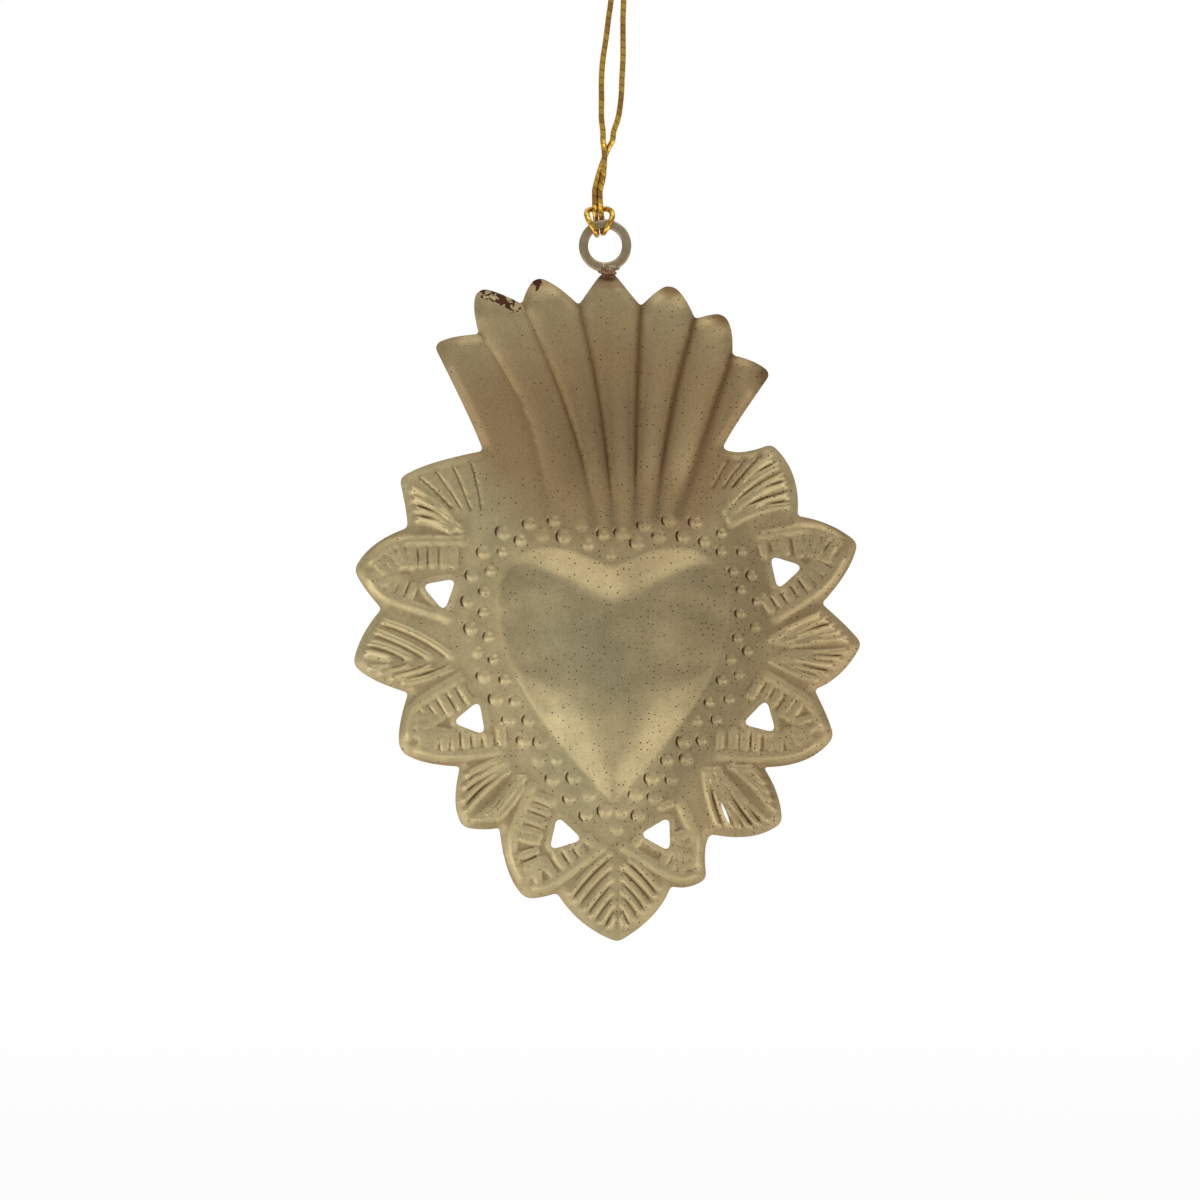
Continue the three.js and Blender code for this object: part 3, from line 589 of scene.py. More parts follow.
@dataclass(frozen=True)
class WireBrass:
    """Drawn brass wire, dulled to a grey brown, with fine scratches along it."""

    name: str = "dulled_drawn_brass"
    brown: str = "927e5c"
    grey_brown: str = "a5987e"
    mottle_mm: float = 2.2
    scratch_mm: float = 0.3
    bump_mm: float = 0.03
    roughness: float = 0.45

    def build(self) -> Material:
        """Makes the material.

        Returns:
            The finished material.
        """
        material, tree, shader = start_material(self.name)
        place = add_node(tree, "ShaderNodeTexCoord").outputs["Object"]
        mottle = add_node(tree, "ShaderNodeTexNoise", None, {
            "Vector": place, "Scale": 1 / (self.mottle_mm * MM), "Detail": 5.0, "Roughness": 0.6})
        body = add_node(tree, "ShaderNodeValToRGB", None, {"Fac": mottle.outputs["Fac"]})
        ramp(body, [(0.35, linear(self.brown)), (0.65, linear(self.grey_brown))])
        tree.links.new(body.outputs["Color"], shader.inputs["Base Color"])
        shader.inputs["Metallic"].default_value = 1.0
        scratches = add_node(tree, "ShaderNodeTexNoise", None, {
            "Vector": place, "Scale": 1 / (self.scratch_mm * MM), "Detail": 3.0})
        rough = add_node(tree, "ShaderNodeMapRange", None, {
            "Value": scratches.outputs["Fac"], "From Min": 0.3, "From Max": 0.7,
            "To Min": self.roughness - 0.08, "To Max": self.roughness + 0.1})
        tree.links.new(rough.outputs["Result"], shader.inputs["Roughness"])
        bump = add_node(tree, "ShaderNodeBump", None, {
            "Height": scratches.outputs["Fac"], "Strength": 0.25, "Distance": self.bump_mm * MM})
        tree.links.new(bump.outputs["Normal"], shader.inputs["Normal"])
        return material


@dataclass(frozen=True)
class SolderMetal:
    """Soft solder with burnt flux in its hollows: dull, lumpy, grey brown with rust-coloured patches."""

    name: str = "fluxed_soft_solder"
    metal: str = "9a937b"
    flux: str = "6e4a36"
    pad: str = "84694e"
    lump_mm: float = 1.2
    bump_mm: float = 0.12
    roughness: float = 0.5

    def build(self) -> Material:
        """Makes the material.

        Returns:
            The finished material.
        """
        material, tree, shader = start_material(self.name)
        place = add_node(tree, "ShaderNodeTexCoord").outputs["Object"]
        patches = add_node(tree, "ShaderNodeTexNoise", None, {
            "Vector": place, "Scale": 1 / (self.lump_mm * MM), "Detail": 4.0, "Roughness": 0.6})
        burnt = add_node(tree, "ShaderNodeAttribute", {"attribute_name": "burnt"}).outputs["Fac"]
        share = add_node(tree, "ShaderNodeMath", {"operation": "ADD"}, {
            0: patches.outputs["Fac"], 1: burnt})
        body = add_node(tree, "ShaderNodeValToRGB", None, {"Fac": share.outputs["Value"]})
        ramp(body, [(0.42, linear(self.metal)), (0.62, linear(self.flux)), (1.0, linear(self.pad))])
        tree.links.new(body.outputs["Color"], shader.inputs["Base Color"])
        shader.inputs["Metallic"].default_value = 0.85
        shader.inputs["Roughness"].default_value = self.roughness
        bump = add_node(tree, "ShaderNodeBump", None, {
            "Height": patches.outputs["Fac"], "Strength": 0.5, "Distance": self.bump_mm * MM})
        tree.links.new(bump.outputs["Normal"], shader.inputs["Normal"])
        return material


@dataclass(frozen=True)
class FoilCord:
    """Gold foil wound round a thread core: bright yellow turns, some of them amber, with dark seams."""

    name: str = "gold_foil_wound_cord"
    yellow: str = "d9b24c"
    amber: str = "b98942"
    seam: str = "6b4318"
    crinkle_mm: float = 0.5
    bump_mm: float = 0.08
    roughness: float = 0.3

    def build(self) -> Material:
        """Makes the material.

        Returns:
            The finished material.
        """
        material, tree, shader = start_material(self.name)
        turn = add_node(tree, "ShaderNodeAttribute", {"attribute_name": "turn"}).outputs["Fac"]
        seam = add_node(tree, "ShaderNodeAttribute", {"attribute_name": "seam"}).outputs["Fac"]
        foil = add_node(tree, "ShaderNodeValToRGB", None, {"Fac": turn})
        ramp(foil, [(0.15, linear(self.amber)), (0.6, linear(self.yellow))])
        mixed = add_node(tree, "ShaderNodeMix", {"data_type": "RGBA"}, {
            "Factor": seam, "A": foil.outputs["Color"], "B": linear(self.seam)})
        tree.links.new(mixed.outputs["Result"], shader.inputs["Base Color"])
        shader.inputs["Metallic"].default_value = 1.0
        shader.inputs["Roughness"].default_value = self.roughness
        place = add_node(tree, "ShaderNodeTexCoord").outputs["Object"]
        crinkle = add_node(tree, "ShaderNodeTexNoise", None, {
            "Vector": place, "Scale": 1 / (self.crinkle_mm * MM), "Detail": 2.0})
        bump = add_node(tree, "ShaderNodeBump", None, {
            "Height": crinkle.outputs["Fac"], "Strength": 0.4, "Distance": self.bump_mm * MM})
        tree.links.new(bump.outputs["Normal"], shader.inputs["Normal"])
        return material


@dataclass
class Cord:
    """The gold cord: two legs with their tails, the hitch on the ring, and the wraps of the knot.

    The routes are in millimetres from the hook, as the frame has them. The left leg goes on as the right
    strand. Each turn of the foil bulges between its seams, a little more or less than the next.
    """

    diameter: float = 1.2
    pitch: float = 1.5
    seam: float = 0.16
    seam_shade: float = 0.6
    bulge: float = 0.1
    spread: float = 0.05
    step: float = 0.125
    sides: int = 16
    left_route: Sequence[Point3] = (
        (-1.5, 0, 10.65), (-0.9, 0, 7.6), (-0.66, 0, 5.4), (-0.58, 0, 3.6), (-0.58, 0, 1.6),
        (-0.7, 0, -0.1), (-0.7, 0, -1.5), (-0.6, 0, -6), (-0.4, 0, -12), (-0.9, 0, -16), (-1.4, 0, -20),
        (-2, 0, -24), (-2.3, 0, -28), (-2.3, 0, -32), (-2.3, 0, -36), (-2, 0, -38.8), (-2, 0, -40.4),
        (-1.8, -0.5, -42), (-1.7, -0.7, -44), (-1.8, -0.6, -46),
    )
    right_route: Sequence[Point3] = (
        (1.5, 0, 10.65), (0.9, 0, 7.6), (0.66, 0, 5.4), (0.58, 0, 3.6), (0.58, 0, 1.6), (0.7, 0, -0.1),
        (0.7, 0, -1.5), (1.5, 0, -6), (2.1, 0, -12), (2, 0, -16), (2, 0, -20), (2, 0, -24), (1.8, 0, -28),
        (1.6, 0, -32), (1, 0, -36), (0.1, 0, -38.8), (-0.1, 0, -40.4), (-1, 0.5, -42), (-1.8, 0.7, -44),
        (-2.5, 0.6, -46),
    )
    hitch_route: Sequence[Point3] = (
        (-2.5, 0.6, -46), (-3.1, 0.3, -48), (-3.66, 0, -50.4), (-3.66, 0, -52), (-3.64, 0.15, -53.3),
        (-3.55, 1.1, -55), (-3.4, 1.6, -56.6), (-3.3, 1.5, -58.45), (-3.25, 0.1, -59.3),
        (-3.5, -1.3, -58.85), (-4.2, -1.65, -57.6), (-4.9, -1.6, -56.3), (-5.25, -0.9, -55.2),
        (-5, 0.4, -54.4), (-4.1, 1.6, -54.05), (-3.1, 1.9, -54.05), (-2.2, 1.7, -54.05),
        (-1, 0.7, -54.1), (-0.25, -0.5, -54.8), (-0.2, -1.4, -56), (-0.9, -1.65, -57.4),
        (-1.55, -1.3, -58.45), (-1.95, 0.1, -58.95), (-2.05, 1.4, -58.2), (-2.15, 1.6, -56.6),
        (-2.35, 1.1, -55), (-2.55, 0.15, -53.3), (-2.59, 0, -52), (-2.59, 0, -50.4), (-2, -0.3, -48),
        (-1.8, -0.6, -46),
    )
    knot_turns: float = 3.4
    knot_reach: Point = (1.55, 1.12)
    knot_ends: Point = (0.95, 4.15)
    knot_tuck: float = 0.08
    tucked_reach: float = 0.35
    twist_zone: Point = (-14.0, -40.0)
    bend_zone: Point = (-50.6, -52.9)
    pivot_across: float = -1.0
    finish: FoilCord = field(default_factory=FoilCord)

    def wound(self, name: str, route: Array, seed: int) -> Object:
        """Winds foil round a route: a tube with a shallow seam that runs round it like a screw.

        Args:
            name: The piece's name.
            route: Even points along the route in millimetres.
            seed: Sets how the turns of foil differ.

        Returns:
            The closed tube, with the attributes that its finish reads.
        """
        tangents = np.gradient(route, axis=0)
        tangents /= np.linalg.norm(tangents, axis=1)[:, None]
        side = np.cross(tangents[0], (0.3, 1, 0.2))
        sides = []
        for tangent in tangents:
            side = side - tangent * (side @ tangent)
            side = side / np.linalg.norm(side)
            sides.append(side)
        across = np.array(sides)
        over = np.cross(tangents, across)
        lengths = distances(route)
        angles = np.linspace(0, 2 * math.pi, self.sides, endpoint=False)
        winding = lengths[:, None] / self.pitch + angles[None] / (2 * math.pi)
        turn, phase = np.divmod(winding, 1.0)
        seam = 1 - smoothstep(np.minimum(phase, 1 - phase), self.seam / 3, self.seam)
        shades = np.random.default_rng(seed).random(int(turn.max()) + 2)
        shade = shades[turn.astype(int)]
        bulge = 1 - self.bulge + self.bulge * np.sqrt(np.sin(math.pi * np.clip(phase, 0, 1)))
        radius = self.diameter / 2 * (bulge + self.spread * (shade - 1))
        spokes = across[:, None] * np.cos(angles)[None, :, None]
        spokes = spokes + over[:, None] * np.sin(angles)[None, :, None]
        points = route[:, None] + spokes * radius[..., None]
        rings, count = len(route), self.sides
        faces = []
        for ring in range(rings - 1):
            for spoke in range(count):
                a, b = ring * count + spoke, ring * count + (spoke + 1) % count
                faces.append((a, b, b + count, a + count))
        faces.append(tuple(range(count))[::-1])
        faces.append(tuple((rings - 1) * count + j for j in range(count)))
        obj = new_object(name, points.reshape(-1, 3), faces)
        set_attribute(obj, "turn", shade.ravel())
        set_attribute(obj, "seam", seam.ravel() * self.seam_shade)
        alone(obj)
        bpy.ops.object.shade_smooth()
        return obj

    def knot_line(self) -> Array:
        """The wraps of the knot: a screw that starts and ends between the legs.

        Returns:
            Points along the wraps in millimetres.
        """
        share = np.linspace(0, 1, 160)
        angle = 2 * math.pi * self.knot_turns * share
        tuck = smoothstep(share, 0, self.knot_tuck) * (1 - smoothstep(share, 1 - self.knot_tuck, 1))
        reach = self.tucked_reach + (1 - self.tucked_reach) * tuck
        low, high = self.knot_ends
        line = np.column_stack([
            self.knot_reach[0] * reach * np.sin(angle),
            self.knot_reach[1] * reach * np.cos(angle),
            low + (high - low) * share,
        ])
        return evenly(line, self.step)

    def dress(self, obj: Object, material: Material) -> None:
        """Gives a piece of the cord its finish."""
        obj.data.materials.append(material)

    def build(self) -> list[Object]:
        """Returns:
            The legs, the hitch and the knot.
        """
        material = self.finish.build()
        knot = self.wound("cord_knot_wraps", self.knot_line(), 3)
        self.dress(knot, material)
        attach(knot, Body.TOP.value)
        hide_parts("cord_knot")
        hitch_path = through(self.hitch_route, self.step)
        hitch = self.wound("cord_lark_head", hitch_path, 5)
        self.dress(hitch, material)
        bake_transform(hitch)
        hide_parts("cord_hitch", "cord_left_strand", "cord_right_strand")
        made = [knot, hitch]
        for name, route, node, seed, carried in (
            ("cord_left_length", self.left_route, "cord_left_leg", 1, [knot]),
            ("cord_right_length", self.right_route, "cord_right_leg", 2, []),
        ):
            path = through(route, self.step)
            leg = self.wound(name, path, seed)
            self.dress(leg, material)
            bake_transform(leg)
            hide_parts(node)
            made.append(leg)
        return made


class Mark(Enum):
    """The tools that mark the sheet."""

    RIDGE = "pushed up from behind with a blunt liner"
    PAD = "struck up from behind with a flat punch"
    CHISEL = "chased into the face with a chisel"


@dataclass(frozen=True)
class Stroke:
    """One mark of a tool.

    Attributes:
        mark: The tool.
        path: The line that the tool followed, across and up, in millimetres.
        width: The mark's width.
        rise: How far the sheet moves, forward or, for a chisel, back.
        taper: The length over which the mark fades at each end.
        crispness: How narrow the top of a ridge is.
        slope: The width of a pad's sloping edge.
    """

    mark: Mark
    path: Array
    width: float
    rise: float
    taper: float = 0.0
    crispness: float = 1.6
    slope: float = 0.4

    def shape(self, points: Array) -> tuple[Array, Array]:
        """Works out the mark where it reaches.

        Args:
            points: Places across and up.

        Returns:
            The numbers of the places that it reaches, and how far each one moves.
        """
        low = self.path.min(0) - self.width
        high = self.path.max(0) + self.width
        near = np.flatnonzero(((points > low) & (points < high)).all(1))
        if not len(near):
            return near, np.zeros(0)
        gap, along = to_path(points[near], self.path)
        share = np.clip(gap / (self.width / 2), 0, 1)
        if self.mark is Mark.RIDGE:
            level = (1 - share**2) ** self.crispness
        elif self.mark is Mark.PAD:
            level = 1 - smoothstep(gap, self.width / 2 - self.slope, self.width / 2)
        else:
            level = 1 - share
        if self.taper:
            length = np.linalg.norm(np.diff(self.path, axis=0), axis=1).sum()
            level = level * smoothstep(np.minimum(along, length - along), 0, self.taper)
        return near, level * self.rise

    def guides(self, step: float) -> list[Array]:
        """Lays lines of points along the mark that let the mesh follow it.

        Args:
            step: The spacing along the lines.

        Returns:
            The lines, the middle one first.
        """
        middle = evenly(self.path, step)
        out = -right_of(np.gradient(middle, axis=0))
        half = self.width / 2
        shares = (1.0,) if self.mark is Mark.CHISEL else (0.55, 1.0)
        return [middle] + [middle + out * half * share * hand for share in shares for hand in (1, -1)]


@dataclass(frozen=True)
class Cut:
    """One flute or petal of the outline, clockwise.

    Attributes:
        tip: Its tip: the angle about the heart's centre in degrees, and how far past its reach it is cut.
        notch: The notch after it, in the same way.
        rise: How far the flank before the tip bows out, and where.
        fall: The same for the flank after it.
        hole: The angle, cut and turn of the triangle that is pierced through a looped petal.
        roots: The angles at which the raised lines of a looped petal end at the beads.
        veins: The number of veins before and after a leaf's midrib.
        tools: The tools that made them.
        spread: The share of a leaf's midrib from which its veins start.
        fan: How far from the midrib the outermost veins start.
        curl: How far the raised veins bow towards the midrib, as a share of their length.
        deep: How much closer to the beads than on the other leaves the veins start.
        blunt: How far the round of the tip reaches down its flanks, where it isn't the usual one.
    """

    tip: Point
    notch: Point
    rise: Point
    fall: Point
    hole: Optional[Point3] = None
    roots: Point = (0.0, 0.0)
    veins: tuple[int, int] = (5, 5)
    tools: tuple[Mark, Mark] = (Mark.RIDGE, Mark.RIDGE)
    spread: float = 0.5
    fan: float = 0.3
    curl: float = 0.0
    deep: float = 0.0
    blunt: Optional[float] = None


@dataclass
class Lobe:
    """A cut with the points of its outline: the notches at its ends, its tip and its two flanks."""

    cut: Cut
    start: Array
    peak: Array
    end: Array
    up: Array
    down: Array


class Points:
    """Points of the blank, none closer together than a gap."""

    cell = 0.5

    def __init__(self) -> None:
        """Starts with no points."""
        self.places: list[Point] = []
        self.cells: dict[tuple[int, int], list[int]] = {}

    def is_free(self, x: float, y: float, gap: float) -> bool:
        """Tells whether a place keeps the gap.

        Args:
            x: The place, across.
            y: The place, up.
            gap: The least distance.

        Returns:
            True if no point lies closer.
        """
        span = math.ceil(gap / self.cell)
        i, j = math.floor(x / self.cell), math.floor(y / self.cell)
        for a in range(i - span, i + span + 1):
            for b in range(j - span, j + span + 1):
                for other in self.cells.get((a, b), ()):
                    px, py = self.places[other]
                    if (px - x) ** 2 + (py - y) ** 2 < gap * gap:
                        return False
        return True

    def add(self, candidates: Array, gap: float) -> None:
        """Takes in the candidates that keep the gap.

        Args:
            candidates: Places across and up.
            gap: The least distance to every point that is there.
        """
        for x, y in candidates.tolist():
            if self.is_free(x, y, gap):
                cell = (math.floor(x / self.cell), math.floor(y / self.cell))
                self.cells.setdefault(cell, []).append(len(self.places))
                self.places.append((x, y))


class Zone(Enum):
    """The zones of the sheet, each with a mesh as fine as its relief."""

    HEART = "the domed heart"
    BEADS = "the beaded band around it"
    CROWN = "the flutes above it"
    PETALS = "the border of petals"


@dataclass
class PressedPlate:
    """The pressed sheet: its blank, the relief that is pressed into it, and its finish.

    The blank is drawn across and up from the heart's centre, in millimetres. The pairs of lengths by which
    it is browned, darkened with painted shade and rubbed say where that sets in and where it is in full.
    """

    sheet: float = 0.5
    setback: float = 1.45
    rim_bend: float = 0.55
    rim_width: float = 2.1
    buckle: Point = (0.22, 15.0)
    ripple: Point = (0.05, 4.0)
    tip_round: float = 0.9
    notch_round: float = 0.6

    heart_side: float = 23.3
    heart_side_up: float = 12.0
    heart_top: float = 22.6
    heart_dip: float = 19.0
    heart_tip: float = 28.4
    lobe_spread: float = 12.8
    lobe_pull: float = 6.3
    tip_pull: Point = (12.1, 12.8)
    side_pull: Point = (14.4, 6.3)
    dip_pull: Point = (3.8, 0.5)
    dome_rise: float = 4.7
    dome_slopes: tuple[float, ...] = (1.2, 0.53, 0.52, 0.3, 0.44, 0.7)
    dome_ends: tuple[float, ...] = (0.3, 0.44, 0.56, 0.7)
    dome_keel: Point = (0.155, 34.8)
    dome_soft: float = 6.5

    bead_diameter: float = 3.3
    bead_rise: float = 0.36
    bead_crown: float = 0.28
    bead_lean: float = 0.45
    beads_in_row: int = 37
    bead_line: float = 4.0
    row_spacing: float = 3.0
    bead_land: float = 1.2
    bead_stray: float = 0.24
    bead_sizes: Point = (0.85, 1.05)
    bead_rises: Point = (0.7, 1.05)
    bead_turns: Point = (-1.3, 0.6)
    bead_shrink: float = 0.26
    shrink_zone: Point = (14.0, 22.0)
    bead_rings: Sequence[tuple[float, int]] = ((0.22, 5), (0.5, 10), (0.76, 14), (0.95, 16), (1.12, 18))
    slit_starts: Point = (110.0, 140.0)
    slit_ends: Point = (205.0, 250.0)
    slit_chance: float = 0.8

    crown_reach: float = 56.0
    crown_notch_reach: float = 50.0
    flute_rise: float = 0.85
    flute_foot: float = 7.6
    flute_tip: float = 6.0
    flute_overhang: float = 4.0
    tip_bend: float = 0.4
    flute_fade: float = 12.0
    flute_round: float = 0.6
    side_fade: Point = (-4.0, 14.0)
    tinned: Point3 = (-0.7, 74.2, 2.2)

    petal_reach: float = 28.0
    petal_notch_reach: float = 21.0
    vein_rise: float = 0.48
    vein_width: float = 1.6
    vein_clear: float = 1.2
    vein_ends: Point = (0.05, 0.87)
    vein_bows: Point = (0.02, 0.06)
    vein_rises: Point = (0.75, 1.15)
    root_land: float = 0.6
    midrib: float = 0.45
    loop_inset: float = 1.8
    loop_width: float = 2.7
    loop_rise: float = 0.44
    loop_stations: Point3 = (0.12, 0.4, 0.7)
    pad_pitch: float = 2.4
    pad_pitches: Point = (0.85, 1.1)
    pad_rise: float = 0.34
    pad_rises: Point = (0.7, 1.2)
    pad_margins: Point = (1.6, 1.2)
    pad_gap: float = 0.35
    pad_reaches: Point = (1.1, 3.3)
    pad_apart: float = 0.62
    pad_between: float = 0.15
    chisel_width: float = 0.45
    chisel_depth: float = 0.16
    hole_reach: float = 12.8
    hole_radius: float = 4.1
    hole_round: float = 1.9
    collar_rise: float = 0.3
    collar_width: float = 1.5

    crack: Sequence[Point] = ((-52.7, 16.5), (-54.5, 21.0))
    crack_width: float = 0.55
    crown_start: Point = (121.8, 1.9)
    crown: Sequence[Cut] = (
        Cut((119.6, -9.5), (112.3, -3.3), (-0.3, 0.2), (0.7, 0.2)),
        Cut((109.7, -0.2), (104.3, 2.1), (1.1, 0.8), (0.5, 0.2)),
        Cut((101.1, 1.5), (95.5, 2.0), (0.6, 0.7), (0.6, 0.3)),
        Cut((90.8, 4.3), (85.5, 1.8), (0.0, 0.5), (-0.1, 0.5), blunt=3.6),
        Cut((81.2, -0.1), (76.5, -1.0), (0.6, 0.8), (0.7, 0.3)),
        Cut((72.4, -5.8), (68.7, -8.0), (0.3, 0.7), (0.9, 0.3)),
        Cut((61.2, -16.3), (62.7, -27.5), (0.7, 0.7), (-0.3, 0.8)),
    )
    petals: Sequence[Cut] = (
        Cut((53.9, -1.7), (38.1, -2.1), (-1.1, 0.3), (2.0, 0.45), veins=(3, 6),
            tools=(Mark.CHISEL, Mark.RIDGE), spread=0.1, fan=2.6, curl=0.12, deep=1.6),
        Cut((25.7, 0.5), (15.3, -1.2), (1.0, 0.55), (1.0, 0.35), (27.8, -0.5, -15), (41.5, 13.7)),
        Cut((3.9, 0.5), (-8.2, 0.0), (0.3, 0.7), (1.3, 0.55), spread=0.25, fan=1.2),
        Cut((-19.0, -0.1), (-35.3, -2.4), (0.3, 0.7), (2.0, 0.4), (-21.3, 0.4, -23), (-4.0, -43.5)),
        Cut((-43.8, 0.3), (-60.6, -1.1), (0.9, 0.55), (1.7, 0.4), veins=(5, 6), spread=0.12, fan=2.2),
        Cut((-66.7, -1.5), (-75.6, 2.7), (-0.8, 0.25), (0.9, 0.55), (-75.0, 0.4, 16), (-64.5, -88.5)),
        Cut((-89.0, 0.5), (-103.5, 3.7), (1.4, 0.4), (1.4, 0.5), veins=(6, 6), spread=0.78),
        Cut((-110.1, 1.1), (-124.3, 0.0), (0.3, 0.7), (1.4, 0.3), (-105.9, 1.0, -27), (-91.5, -123.8)),
        Cut((-131.7, -2.0), (-145.3, -2.1), (0.4, 0.3), (1.4, 0.3), veins=(5, 4), spread=0.12, fan=2.4),
        Cut((-157.1, -0.4), (-171.1, 0.8), (1.0, 0.7), (0.8, 0.3), (-157.4, -0.9, -13), (-139.0, -175.4)),
        Cut((-179.3, 3.3), (-192.6, 3.5), (0.9, 0.7), (0.9, 0.45), veins=(4, 4), spread=0.74),
        Cut((-199.4, 2.5), (-212.8, 0.7), (0.4, 0.7), (1.4, 0.4), (-201.8, -0.6, 2), (-194.4, -220.4)),
        Cut((-220.4, -0.1), (-238.2, 1.9), (-0.3, 0.2), (0.9, 0.25), veins=(4, 4),
            tools=(Mark.RIDGE, Mark.CHISEL), spread=0.1, fan=0.9, curl=0.12, deep=1.9),
    )
    grooves: Sequence[Point3] = (
        (114.9, 3.1, 0.55), (98.4, 2.0, 0.65), (90.0, 1.1, 0.45),
        (80.8, -0.3, 0.5), (73.3, -1.1, 0.45), (65.8, -0.2, 0.6),
    )
    crown_feet: Point = (124.9, 58.0)

    brown_foot: Point = (9.0, 36.0)
    brown_ends: Point = (12.0, 24.0)
    brown_tips: Point = (58.0, 77.0)
    brown_right: Point = (-8.0, 34.0)
    brown_top: Point = (22.0, 36.0)
    shade_top: Point = (-14.0, 0.0)
    shade_sides: Point = (8.0, 18.0)
    keel_width: Point = (0.4, 2.6)
    keel_start: Point = (8.0, 14.0)
    shade_crown: Point = (29.0, 40.0)
    unshaded_crown: Point = (46.0, 62.0)
    crown_half: Point = (3.0, 16.0)
    shade_beads: Point = (4.0, 14.0)
    bead_zone: Point = (6.0, 11.0)
    groove_shadow: Point = (0.2, 2.0)
    groove_top: Point = (42.0, 64.0)
    groove_right: Point = (-22.0, 8.0)
    rubbed_right: Point = (-25.0, 15.0)
    pitted_right: Point = (-40.0, 20.0)

    edge_step: float = 0.42
    guide_step: float = 0.45
    spacing: dict[Zone, float] = field(default_factory=lambda: {
        Zone.HEART: 0.95, Zone.BEADS: 0.5, Zone.CROWN: 0.72, Zone.PETALS: 0.52})
    seed: int = 7
    finish: AntiqueBrass = field(default_factory=AntiqueBrass)

    def __post_init__(self) -> None:
        """Draws the lines that the blank and its relief follow."""
        self.rng = np.random.default_rng(self.seed)
        self.heart = self.heart_line()
        start = self.past_heart(self.crown_start[0], self.petal_notch_reach + self.crown_start[1])
        self.flutes = self.chain(self.crown, start, self.crown_reach, self.crown_notch_reach)
        start = self.flutes[-1].end
        self.border = self.chain(self.petals, start, self.petal_reach, self.petal_notch_reach)
        self.looped = [lobe for lobe in self.border if lobe.cut.hole]
        self.outline = self.outline_loop()
        self.holes = [self.hole_loop(lobe.cut) for lobe in self.looped]
        self.openings = [*self.holes, self.crack_loop()]
        self.beads = self.bead_places()
        self.raised_lines = [line for lobe in self.looped for line in self.loop_lines(lobe)]
        self.strokes = self.all_strokes()

    @property
    def band(self) -> float:
        """How far the beaded band reaches past the heart."""
        return self.bead_line + self.row_spacing / 2 + self.bead_diameter / 2 + self.bead_land

    def heart_line(self) -> Array:
        """Draws the heart's contour.

        Returns:
            Even points from its tip up the right side, over both lobes and down again.
        """
        side, up, lobe = self.heart_side, self.heart_side_up, self.lobe_spread
        top, dip, tip = self.heart_top, self.heart_dip, -self.heart_tip
        low, high = up - self.side_pull[0], up + self.side_pull[1]
        outer, inner = lobe + self.lobe_pull, lobe - self.lobe_pull
        curves = [
            [(0, tip), (self.tip_pull[0], tip + self.tip_pull[1]), (side, low), (side, up)],
            [(side, up), (side, high), (outer, top), (lobe, top)],
            [(lobe, top), (inner, top), (self.dip_pull[0], dip + self.dip_pull[1]), (0, dip)],
        ]
        share = np.linspace(0, 1, 80)[:, None]
        weights = [(1 - share)**3, 3 * share * (1 - share)**2, 3 * share**2 * (1 - share), share**3]
        right = np.vstack([sum(w * np.array(p) for w, p in zip(weights, c)) for c in curves])
        left = right[::-1] * (-1, 1)
        return evenly(np.vstack([right, left[1:]]), self.edge_step)[:-1]

    def past_heart(self, degrees: float, reach: float) -> Array:
        """Measures out from the heart's contour.

        Args:
            degrees: The angle about the heart's centre.
            reach: How far past the contour.

        Returns:
            The point there.
        """
        ray = np.array([math.cos(math.radians(degrees)), math.sin(math.radians(degrees))])
        edge = np.roll(self.heart, -1, axis=0) - self.heart
        turn = ray[0] * edge[:, 1] - ray[1] * edge[:, 0]
        share = (self.heart[:, 0] * ray[1] - self.heart[:, 1] * ray[0]) / turn
        radius = (self.heart[:, 0] * edge[:, 1] - self.heart[:, 1] * edge[:, 0]) / turn
        return ray * (radius[(share >= 0) & (share <= 1)].max() + reach)

    def chain(self, cuts: Sequence[Cut], start: Array, reach: float, notch_reach: float) -> list[Lobe]:
        """Draws a row of flutes or petals, each from the notch where the one before it ends.

        Args:
            cuts: The row.
            start: The notch before it.
            reach: How far past the heart the tips reach.
            notch_reach: The same for the notches.

        Returns:
            The row with its points.
        """
        lobes = []
        for cut in cuts:
            peak = self.past_heart(cut.tip[0], reach + cut.tip[1])
            end = self.past_heart(cut.notch[0], notch_reach + cut.notch[1])
            up = bow(start, peak, *cut.rise, self.edge_step)
            lobes.append(Lobe(cut, start, peak, end, up, bow(peak, end, *cut.fall, self.edge_step)))
            start = end
        return lobes

    def rounded(self, before: Array, corner: Array, after: Array) -> Array:
        """A round corner between the ends of two lines."""
        share = np.linspace(0, 1, 7)[1:-1, None]
        return (1 - share)**2 * before + 2 * share * (1 - share) * corner + share**2 * after

    def outline_loop(self) -> Array:
        """Joins the flutes and petals.

        Returns:
            The outline of the blank, turning left, with round tips and notches.
        """
        lobes = [*self.flutes, *self.border]
        flanks = []
        for lobe in lobes:
            blunt = lobe.cut.blunt or self.tip_round
            ends = ((lobe.up, self.notch_round, blunt), (lobe.down, blunt, self.notch_round))
            for line, first, last in ends:
                gone = distances(line)
                flanks.append((line[(gone > first) & (gone < gone[-1] - last)], line[-1]))
        pieces = []
        for (line, corner), (following, _) in zip(flanks, flanks[1:] + flanks[:1]):
            pieces += [line, self.rounded(line[-1], corner, following[0])]
        return evenly(np.vstack([*pieces, pieces[0][:1]]), self.edge_step)[:0:-1]

